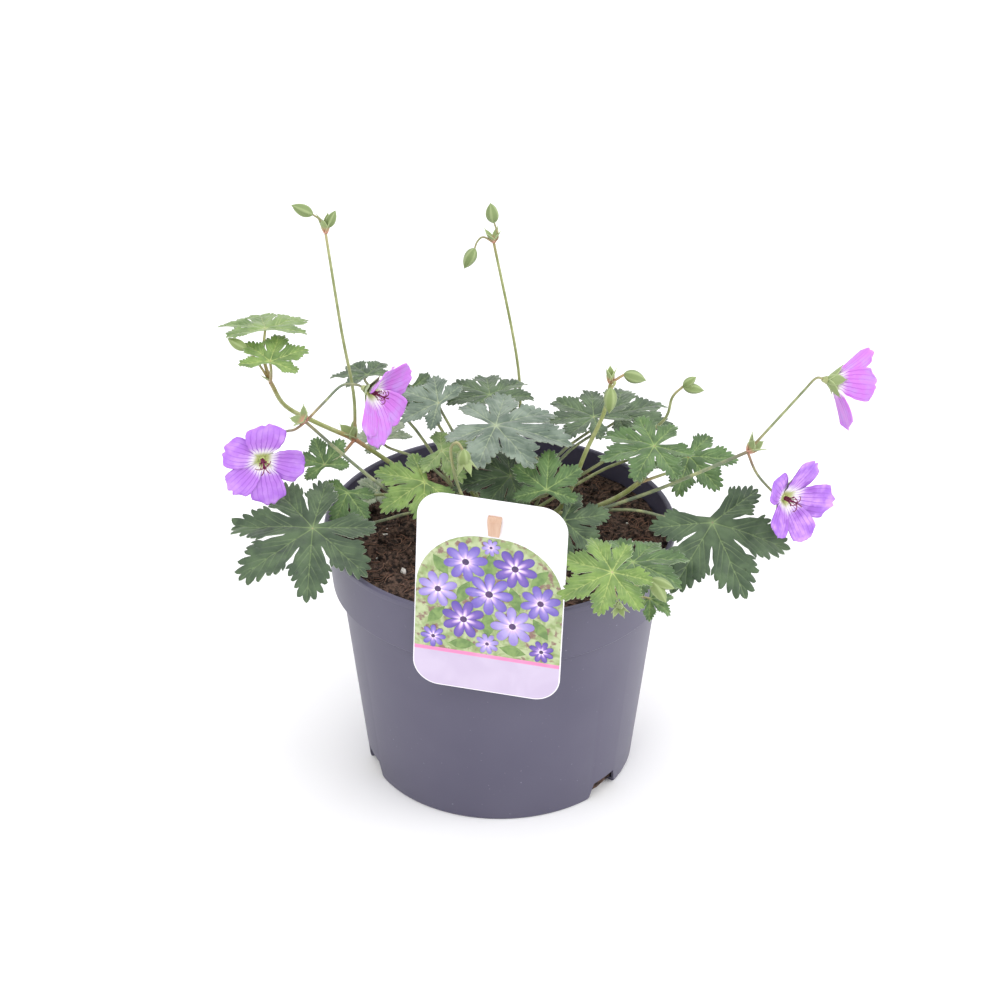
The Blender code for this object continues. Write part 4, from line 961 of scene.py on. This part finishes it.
def flower_stems():
    """The branched stems, each with its bracts, buds, calyces and stem leaves."""
    left, upper, far, right = (BLOOMS[k] for k in ("left", "upper", "far", "right"))

    fork = Vector((-91, -15, 193))
    stem(
        "stem_left_flowers",
        rooted(-12, 2, ((-26, -1, 128), (-43, 1, 137), (-66, -8, 163), fork), 1.4, 1.1, 0.0),
        whorl(fork, (-0.5, -0.1, 0.6), 4, 8.5, 5.0, 52.0, 0.4, 0.6, 1.4),
        branch([fork, (-96, -17, 190), (-103, -10, 184)] + stalk_end(left), 0.9, 0.8, 0.0),
        branch([fork, (-82, -12, 202), (-74, -9, 209)] + stalk_end(upper), 0.9, 0.8, 0.0),
        calyx(left) + calyx(upper),
    )

    node, leafy, fork = Vector((-71, 36, 155)), Vector((-109, 13, 199)), Vector((-82, 36, 266))
    tip_leaf = Leaf("tip_leaf_high", (-111, 20, 224), 28, 100, -7, -90, 5, "tender", 0, ())
    low_leaf = Leaf("tip_leaf_low", (-108, 4, 215), 21, 80, 16, -90, 5, "bright", 0, ())
    side_leaf = Leaf("side_leaf", (-84, 2, 160), 17, 110, 40, -90, 5, "mid", 0, ())
    stem(
        "stem_far_left",
        rooted(-20, 26, ((-38, 34, 130), (-56, 40, 141), node), 2.0, 1.6, 0.9, (1.0, 1.0)),
        branch([node, (-89, 26, 170), (-103, 19, 183), leafy], 1.6, 1.4, 1.0, (1.0, 0.4)),
        whorl(node, (-0.4, 0.0, 0.8), 4, 11.0, 6.0, 34.0, 0.0, 1.0, 0.3),
        branch([node, (-71, 36, 180), (-76, 36, 215), fork], 1.2, 0.9, 0.6, (0.8, 0.3)),
        whorl(fork, (0, 0, 1), 4, 10.5, 3.6, 24.0, 0.5, 0.8, 1.2),
        branch([fork, (-84, 35, 273), (-88, 34, 277)], 0.7, 0.6),
        bud((-87.5, 34, 276.6), (-0.85, -0.05, 0.45), 11.5, 6.0),
        branch([fork, (-81, 36, 270)], 0.7, 0.6),
        bud((-81, 36, 269), (0.40, 0.0, 0.9), 10.0, 4.8),
        branch([leafy, (-112, 15, 212), tip_leaf.hub], 1.3, 0.8, 1.0),
        branch([leafy, (-108, 7, 208), low_leaf.hub], 1.1, 0.8, 1.0),
        branch([node, (-78, 26, 151), (-83, 14, 154), side_leaf.hub], 1.1, 0.8, 0.6, (1.0, 0.2)),
        branch([leafy, (-116, 13, 212), (-120, 13, 217)], 0.8, 0.7, 1.0),
        bud((-119.5, 13, 216.5), (-0.75, 0.0, 0.5), 11.0, 5.2, 1.0),
        whorl(leafy, (-0.3, 0.0, 0.9), 2, 7.0, 3.2, 30.0, 0.0, 1.0, 0.6),
        [leaf_blade(one) for one in (tip_leaf, low_leaf, side_leaf)],
    )

    fork = Vector((-3, 74, 243))
    stem(
        "stem_middle_buds",
        rooted(1, 30, ((5, 48, 130), (9, 66, 141), (10, 75.5, 160), (7, 76, 188), fork), 1.3, 1.0, 0.7),
        whorl(fork, (-0.1, 0.0, 1.0), 4, 8.5, 3.4, 34.0, 0.2, 0.8, 1.4),
        branch([fork, (-1, 73, 247), (-3, 73, 255)], 0.7, 0.6),
        bud((-3, 73, 254), (-0.15, 0.0, 1.0), 11.0, 6.6),
        branch([fork, (-8, 72, 247), (-11, 71, 245), (-12.5, 70, 241)], 0.7, 0.6),
        bud((-12.2, 70, 242), (-0.45, -0.1, -0.9), 12.0, 6.4),
    )

    fork = Vector((52, -1, 206))
    stem(
        "stem_centre_buds",
        rooted(11, 9, ((21, 6, 128), (31, 4, 138), (41, 1, 168), (49, 0, 189), fork), 2.0, 1.3, 0.9,
               (0.2, 0.2)),
        whorl(fork, (0, 0, 1), 3, 9.0, 4.0, 18.0, 0.9, 1.0, 1.0),
        branch([fork, (54, -4, 208), (52, -5.5, 205)], 0.9, 0.8, 0.8),
        bud((52, -5.4, 206), (-0.05, -0.12, -1.0), 13.5, 6.6, 0.8),
        branch([fork, (56, -1, 209), (59, -1, 211)], 0.9, 0.8, 0.8, (1.0, 0.6)),
        bud((58, -1, 211), (0.9, 0.0, -0.30), 11.5, 6.6),
    )

    node = Vector((67, 4, 149))
    leaf = Leaf("right_stem_leaf", (92, 26, 151), 26, -52, 22, -80, 5, "mid", 0, ())
    stem(
        "stem_right_leafy",
        rooted(17, 14, ((26, 15, 125), (39, 13, 127), (56, 8, 138), node), 2.0, 1.7, 0.9, (0.9, 0.1)),
        whorl(node, (0.3, 0.0, 1.0), 5, 9.0, 4.0, 24.0, 0.3, 1.0, 0.2),
        branch([node, (79, 12, 149), (87, 22, 146), leaf.hub], 1.1, 0.8, 0.8),
        leaf_blade(leaf),
    )

    fork = Vector((117, -10, 174))
    stem(
        "stem_right_flowers",
        rooted(20, -1, ((30, 1, 126), (40, 3, 131), (77, -3, 150), fork), 1.5, 1.2, 0.0),
        whorl(fork, (0.7, 0.0, 0.8), 4, 10.0, 5.2, 34.0, 0.2, 0.6, 1.4),
        branch([fork, (136, -10, 199), (142, -11.5, 208)] + stalk_end(far), 0.9, 0.8, 0.3),
        branch([fork, (122, -10, 162)] + stalk_end(right), 0.9, 0.8, 0.0),
        calyx(far) + calyx(right),
    )

    fork = Vector((89, 42, 181))
    path = ((36, 36, 132), (62, 44, 146), (80, 42, 162), (84, 42, 175), fork)
    stem(
        "stem_back_right_buds",
        rooted(14, 28, path, 1.4, 0.9, 0.5),
        whorl(fork, (0.9, 0.0, 0.1), 3, 6.0, 3.0, 30.0, 0.0, 0.8),
        bud(fork, (0.9, 0.0, -0.2), 11.0, 5.4, 0.7),
        bud(fork, (0.7, 0.0, 0.6), 8.5, 4.6, 0.7),
    )

    hook = Vector((-20, -26, 188))
    path = ((-9, -16, 135), (-19, -25, 162), (-23, -26, 183), hook, (-17, -27, 184))
    stem(
        "stem_nodding_bud",
        rooted(-6, -2, path, 1.2, 0.9, 0.4),
        bud((-17, -27, 185), (0.0, -0.05, -1.0), 11.0, 7.0, 0.8),
        whorl((-17, -27, 184.5), (0.1, 0.0, -1.0), 5, 13.0, 4.6, 26.0, 0.0, 1.0),
    )

    node = Vector((52, -74, 138))
    leaf = Leaf("shoot_leaf", (50.5, -95, 159.8), 28, 207, 22, -90, 7, "bright", 0, ())
    small = Leaf("shoot_small_leaf", (69, -78, 135), 12, -40, 24, -90, 5, "mid", 0, ())
    stem(
        "stem_front_shoot",
        rooted(6, -6, ((18, -22, 124), (31, -46, 126), (42, -63, 132), node), 1.6, 1.3, 0.8),
        branch([node, (52, -86, 147), leaf.hub], 1.1, 0.9, 0.8),
        branch([node, (62, -78, 142), (70, -80, 147)], 1.0, 0.8, 0.8),
        branch([node, (61, -76, 136), small.hub], 0.9, 0.8, 0.8),
        branch([node, (53, -80, 138), (54, -84, 137)], 0.9, 0.8, 0.8),
        bud((69, -80, 146.5), (0.55, -0.35, -0.75), 13.0, 6.4, 0.8),
        bud((69, -80, 147), (0.95, -0.2, -0.35), 12.0, 5.2, 0.8),
        whorl((54, -84, 137), (0.1, -0.8, -0.4), 5, 8.0, 3.6, 34.0, 0.0, 1.0),
        [leaf_blade(leaf), leaf_blade(small)],
    )


def make_pot(material):
    """The pot, spun from its section, with its three notches cut at the foot."""
    rim, collar, body, foot = POT_RIM_RADIUS, POT_COLLAR_RADIUS, POT_BODY_TOP_RADIUS, POT_BASE_RADIUS
    top, ledge, wall = POT_HEIGHT, POT_COLLAR_BOTTOM, POT_WALL
    profile = [
        (0.0, 0.0), (foot - 1.6, 0.0), (foot - 0.5, 0.4), (foot, 1.6),
        (body - 0.3, ledge - 1.8), (body + 0.2, ledge - 1.1),
        (collar - 0.7, ledge - 0.4), (collar, ledge + 0.5),
        (rim - 0.9, top - 3.6), (rim - 0.2, top - 3.2), (rim, top - 2.6), (rim, top - 0.8), (rim - 0.7, top),
        (rim - 2.0, top), (rim - 2.6, top - 0.8), (collar - wall, ledge + 2.0), (body - wall, ledge - 0.5),
        (foot - wall + 0.3, wall + 0.4), (0.0, wall + 0.4),
    ]
    mesh = bpy.data.meshes.new("pot_fine")
    mesh.from_pydata([Vector((r, 0, z)) * MM for r, z in profile],
                     [(i, i + 1) for i in range(len(profile) - 1)], [])
    pot = take(placed("pot_fine", mesh))
    bpy.ops.object.mode_set(mode="EDIT")
    bpy.ops.mesh.select_all(action="SELECT")
    bpy.ops.mesh.spin(steps=160, angle=2 * math.pi, center=(0, 0, 0), axis=(0, 0, 1))
    bpy.ops.mesh.select_all(action="SELECT")
    bpy.ops.mesh.remove_doubles(threshold=0.01 * MM)
    bpy.ops.mesh.normals_make_consistent(inside=False)
    bpy.ops.object.mode_set(mode="OBJECT")
    for angle in NOTCH_ANGLES:
        cutter = simple_body(bpy.ops.mesh.primitive_cube_add, size=1.0)
        turn = Matrix.Rotation(math.radians(angle), 4, "Z")
        for v in cutter.data.vertices:
            half = NOTCH_WIDTH / 2 - (3.0 if v.co.z > 0 else 0.0)
            x = POT_BASE_RADIUS + (6.0 if v.co.x > 0 else -NOTCH_DEPTH)
            v.co = turn @ Vector((x, math.copysign(half, v.co.y), NOTCH_HEIGHT if v.co.z > 0 else -1.0)) * MM
        applied(pot, "BOOLEAN", operation="DIFFERENCE", solver="EXACT", object=cutter)
        bpy.data.objects.remove(cutter)
    pot.data.materials.clear()
    pot.data.materials.append(material)
    take(pot)
    bpy.ops.object.shade_smooth_by_angle(angle=math.radians(28))
    shown(pot, "pot_plastic", "pot")


def soil_height(x, y):
    """Height of the soil's crumbly surface, which is highest round the crown."""
    from_crown = math.hypot(x - CROWN.x, y - CROWN.y)
    coarse = 1.5 * noise.noise(Vector((x, y, 0.0)) / 9.0)
    crumbs = 1.3 * noise.noise(Vector((x, y, 3.0)) / 3.1) + 0.7 * noise.noise(Vector((x, y, 9.0)) / 1.3)
    return SOIL_LEVEL + 0.9 + SOIL_MOUND * math.exp(-((from_crown / 38.0) ** 2)) + coarse + crumbs


def make_soil(soil, fibre, grain):
    """Crumbly top of the root ball, with coir threads and grains of perlite."""
    top = simple_body(bpy.ops.mesh.primitive_grid_add, x_subdivisions=190, y_subdivisions=190, size=2)
    for v in top.data.vertices:
        x, y = v.co.x, v.co.y
        px, py = x * math.sqrt(1 - y * y / 2), y * math.sqrt(1 - x * x / 2)
        r = math.hypot(px, py)
        px, py = px * SOIL_RADIUS, py * SOIL_RADIUS
        edge = max(0.0, r - 0.965) / 0.035
        v.co = Vector((px, py, soil_height(px, py) - 5.0 * edge * edge)) * MM
    top.data.materials.append(soil)
    top.data.shade_smooth()
    top = applied(top, "SOLIDIFY", thickness=0.5 * MM, offset=-1.0)
    shown(joined("soil_top", [top]), "soil")

    draw = random.Random(7)

    def anywhere(limit):
        """A point spread evenly over the soil."""
        radius, angle = limit * math.sqrt(draw.random()), draw.uniform(0, 2 * math.pi)
        return radius * math.cos(angle), radius * math.sin(angle)

    crumbs = []
    for _ in range(420):
        x, y = anywhere(78.0)
        crumbs.append(lump(x, y, 0.6 + 2.4 * draw.random() ** 2, draw, soil))
    shown(joined("soil_crumbs", crumbs), "soil")
    white = []
    for _ in range(34):
        x, y = anywhere(77.0)
        white.append(lump(x, y, 0.35 + 1.2 * draw.random() ** 2, draw, grain))
    shown(joined("soil_perlite", white), "soil")
    threads = []
    for _ in range(380):
        x, y = anywhere(76.0)
        heading, length, curl = draw.uniform(0, 6.3), draw.uniform(3.0, 16.0), draw.uniform(-0.12, 0.12)
        points = []
        for _ in range(4):
            if math.hypot(x, y) > 79.0:
                break
            points.append((x, y, soil_height(x, y) + draw.uniform(0.0, 1.3)))
            x, y = x + length / 3 * math.cos(heading), y + length / 3 * math.sin(heading)
            heading += curl * length + draw.uniform(-0.3, 0.3)
        if len(points) > 2:
            threads.append(stalk(points, draw.uniform(0.16, 0.36), 0.10, fibre, sides=0, per_span=3))
    shown(joined("soil_fibres", threads), "soil")


def lump(x, y, radius, draw, material):
    """A rough grain that lies half sunk in the soil."""
    obj = simple_body(bpy.ops.mesh.primitive_ico_sphere_add, subdivisions=2, radius=1.0)
    stretch = [draw.uniform(0.7, 1.3) for _ in range(3)]
    seed = draw.uniform(0, 99)
    centre = Vector((x, y, soil_height(x, y) + 0.35 * radius))
    for v in obj.data.vertices:
        rough = 1.0 + 0.5 * noise.noise(v.co * 1.6 + Vector((seed, 0, 0)))
        v.co = (centre + Vector(v.co[i] * stretch[i] for i in range(3)) * radius * rough) * MM
    obj.data.materials.append(material)
    return obj


def label_matrix():
    """The card's own frame, from its middle: X to its right, Y through it to the back, Z up."""
    turn = Matrix.Rotation(math.radians(LABEL_YAW), 4, "Z")
    place = turn @ Vector((LABEL_ASIDE, -LABEL_FROM_AXIS, LABEL_MIDDLE_HEIGHT))
    return Matrix.Translation(place) @ turn @ Matrix.Rotation(math.radians(LABEL_ROLL), 4, "Y")


def card_shape(left, right, low, high, corners, front, material, thick=0.06):
    """A flat shape on the card with a round corner of its own size at each corner."""
    outline = []
    signs = ((1, 1, 0), (-1, 1, 90), (-1, -1, 180), (1, -1, 270))
    for (cx, cz, first), corner in zip(signs, corners):
        x = right - corner if cx > 0 else left + corner
        z = high - corner if cz > 0 else low + corner
        for step in range(13):
            a = math.radians(first + 90.0 * step / 12)
            outline.append(Vector((x + corner * math.cos(a), front, z + corner * math.sin(a))))
    return flat_piece(outline, material, thick)


def flat_piece(outline, material, thick):
    """A thin closed piece from an outline in the card's frame."""
    matrix = label_matrix()
    kept = [outline[0]]
    for p in outline[1:]:
        if (p - kept[-1]).length > 0.02:
            kept.append(p)
    if (kept[0] - kept[-1]).length < 0.02:
        kept.pop()
    mesh = bpy.data.meshes.new("shape")
    mesh.from_pydata([matrix @ p * MM for p in kept], [], [tuple(range(len(kept)))])
    mesh.materials.append(material)
    return applied(placed("shape", mesh), "SOLIDIFY", thickness=thick * MM, offset=-1.0)


def printed_daisy(x, z, radius, spin, front, ink, heart):
    """A flat daisy of the label's print: eight narrow petals round a small disc."""
    matrix = label_matrix()
    obj = simple_body(bpy.ops.mesh.primitive_circle_add, vertices=112, radius=1.0, fill_type="NGON")
    take(obj)
    bpy.ops.object.mode_set(mode="EDIT")
    bpy.ops.mesh.select_all(action="SELECT")
    for share in (0.7, 0.65, 0.55, 0.4):
        bpy.ops.mesh.inset(thickness=0.0)
        bpy.ops.transform.resize(value=(share, share, share), center_override=(0.0, 0.0, 0.0))
    bpy.ops.object.mode_set(mode="OBJECT")
    along, across = [], []
    for v in obj.data.vertices:
        angle = math.atan2(v.co.y, v.co.x)
        share = abs(math.cos(4.0 * (angle - spin))) ** 0.55
        r = math.hypot(v.co.x, v.co.y) * radius * (0.40 + 0.60 * share)
        along.append(min(1.0, math.hypot(v.co.x, v.co.y)))
        across.append(angle / 6.0 if along[-1] > 0.1 else 0.0)
        v.co = matrix @ Vector((x + r * math.cos(angle), front, z + r * math.sin(angle))) * MM
    attribute(obj, "along", along)
    attribute(obj, "across", across)
    obj.data.materials.append(ink)
    ring = [Vector((x + 0.16 * radius * math.cos(b), front - HEART_LIFT, z + 0.16 * radius * math.sin(b)))
            for b in (2 * math.pi * i / 16 for i in range(16))]
    return [applied(obj, "SOLIDIFY", thickness=0.05 * MM, offset=0.0), flat_piece(ring, heart, 0.04)]


def printed_leaf(x, z, length, turn, front, ink):
    """A flat pointed leaf of the label's print."""
    outline = []
    for i in range(24):
        a = 2 * math.pi * i / 24
        u, w = math.cos(a) * length / 2, math.sin(a) ** 3 * length * 0.20 + math.sin(a) * length * 0.02
        outline.append(Vector((x + u * math.cos(turn) - w * math.sin(turn), front,
                               z + u * math.sin(turn) + w * math.cos(turn))))
    return flat_piece(outline, ink, 0.04)


def make_label():
    """The card with a plain print of its own: an arched green field of daisies over a lilac foot."""
    white = coated_card()
    half_w, half_h = LABEL_WIDTH / 2, LABEL_HEIGHT / 2
    face = -LABEL_THICKNESS / 2
    card = card_shape(-half_w, half_w, -half_h, half_h, [LABEL_CORNER] * 4, face, white, LABEL_THICKNESS)
    pieces = [applied(card, "BEVEL", width=0.12 * MM, segments=2, limit_method="ANGLE")]
    green = printed("printed_foliage", "#8a9f62", "#b6c295", 5.0, "#85695c")
    leafy = printed("printed_leaves", "#5f7f42", "#7d9a55", 4.0)
    lilac = printed("printed_lilac", "#c3b5d0", "#cabdd6", 20.0)
    pink = printed("printed_pink", "#e283b4", "#e894c0", 15.0)
    inks = [printed_petals("printed_daisy_violet", "#9583cf", "#6a57b4"),
            printed_petals("printed_daisy_lilac", "#b3a5dc", "#8e7cc8"),
            printed_petals("printed_daisy_deep", "#8062b8", "#5b46a2")]
    heart = printed("printed_daisy_heart", "#3b2a55", "#54306b", 2.0)
    edge, foot = half_w - INK_MARGIN, INK_MARGIN - half_h
    lilac_at, pink_at, green_at = (face - INK_LIFT[ink] for ink in ("lilac", "pink", "green"))
    pieces.append(card_shape(-edge, edge, foot, FOOT_TOP, [0.5, 0.5, 12.0, 12.0], lilac_at, lilac))
    pieces.append(card_shape(-edge, edge, *LINE_HEIGHTS, [0.3] * 4, pink_at, pink))
    pieces.append(card_shape(-edge, edge, FOOT_TOP, FIELD_TOP, [30.0, 30.0, 0.5, 0.5], green_at, green))
    for x, z, length, turn in PRINTED_LEAVES:
        pieces.append(printed_leaf(x, z, length, turn, face - INK_LIFT["leaves"], leafy))
    for i, (x, z, radius, spin, tone) in enumerate(PRINTED_DAISIES):
        front = face - INK_LIFT["daisies"] - DAISY_STEP * i
        pieces += printed_daisy(x, z, radius, spin, front, inks[tone], heart)
    shown(joined("label_fine", pieces), "label_card", "label")


def make_peg():
    """The peg keeps its shape, with its sharp edges eased."""
    take(frame["nodes"]["label_peg"])
    bpy.ops.object.duplicate()
    peg = bpy.context.object
    peg.name = "label_peg_fine"
    for key in list(peg.keys()):
        if key.startswith("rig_"):
            del peg[key]
    bpy.ops.object.parent_clear(type="CLEAR_KEEP_TRANSFORM")
    bpy.ops.object.mode_set(mode="EDIT")
    bpy.ops.mesh.select_all(action="SELECT")
    bpy.ops.mesh.remove_doubles(threshold=0.001 * MM)
    bpy.ops.object.mode_set(mode="OBJECT")
    applied(peg, "BEVEL", width=0.25 * MM, segments=2, limit_method="ANGLE")
    peg.data.materials.clear()
    peg.data.materials.append(beech())
    shown(peg, "peg_wood", "label_peg")


def studio():
    """A white floor and soft light from above and in front, as in a catalogue picture."""
    bpy.context.scene.view_settings.view_transform = "Standard"
    floor = simple_body(bpy.ops.mesh.primitive_plane_add, size=8.0)
    floor.name = "studio_floor"
    made, node, place = surface("studio_paper", Roughness=0.9)
    tone = node("TexNoise", grains(place, 300.0, 1.0))
    paper = node("Mix", {0: tone, 6: linear("#fbfafc"), 7: linear("#fefeff")}, 2, **RGBA)
    floor.data.materials.append(finished(made, paper))
    world = bpy.data.worlds.new("studio")
    world.use_nodes = True
    world.node_tree.nodes["Background"].inputs["Color"].default_value = (1.0, 1.0, 1.0, 1.0)
    world.node_tree.nodes["Background"].inputs["Strength"].default_value = SKY_STRENGTH
    bpy.context.scene.world = world
    for name, (place, size, power) in LAMPS.items():
        lamp = bpy.data.lights.new(name, "AREA")
        lamp.size = size
        lamp.energy = power
        lit = placed(name, lamp)
        lit.location = place
        lit.rotation_euler = (Vector((0, 0, 0.12)) - Vector(place)).to_track_quat("-Z", "Y").to_euler()


def camera():
    """The photograph's view: 30.5 degrees down, from 1.43 m, on a long lens."""
    lens = bpy.data.cameras.new("photo_camera")
    lens.lens = CAMERA_LENS
    lens.sensor_width = 36.0
    cam = placed("photo_camera", lens)
    pitch, aim = math.radians(CAMERA_PITCH), Vector(CAMERA_AIM)
    cam.location = aim + Vector((0.0, -math.cos(pitch), math.sin(pitch))) * CAMERA_DISTANCE
    cam.rotation_euler = (aim - cam.location).to_track_quat("-Z", "Y").to_euler()
    bpy.context.scene.camera = cam


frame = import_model()
deselect()
STEM, SEPAL, COLUMN = living_stem(), sepal_skin(), column_skin()
VIOLET = petal_skin("petal_skin_violet", "#b473dc", "#ae70e2", "#7e3fb4")
PINK = petal_skin("petal_skin_pink", "#cf76e0", "#d07fe8", "#a144bc")
# Painted shade: the right bloom's petals are the violet darkened by about a tenth, standing in for the shade
# on that bloom.
SHADED_PETAL_SKIN = petal_skin("petal_skin_deep", "#985ac2", "#965ecc", "#6c3098")
PETAL = {"bloom_left": VIOLET, "bloom_right": SHADED_PETAL_SKIN, "bloom_upper": PINK, "bloom_far": PINK}
SKINS = {look: (leaf_skin(look), leaf_underside(look)) for look in LOOKS}
SOIL = potting_soil()
for slot in frame["nodes"]["soil"].material_slots:
    slot.material = SOIL
make_pot(moulded_polypropylene())
make_soil(SOIL, coir_fibre(), perlite())
make_label()
make_peg()
FRESH = {"dark": 0.1, "mid": 0.5, "bright": 0.9, "tender": 0.9, "grey": 0.1, "old": 0.3}
for leaf in BASAL_LEAVES:
    shown(joined(leaf.name + "_fine", [leaf_blade(leaf), petiole(leaf, FRESH[leaf.look])]), "leaf", leaf.name)
for bloom in BLOOMS.values():
    petals(bloom)
    column(bloom)
flower_stems()
studio()
camera()
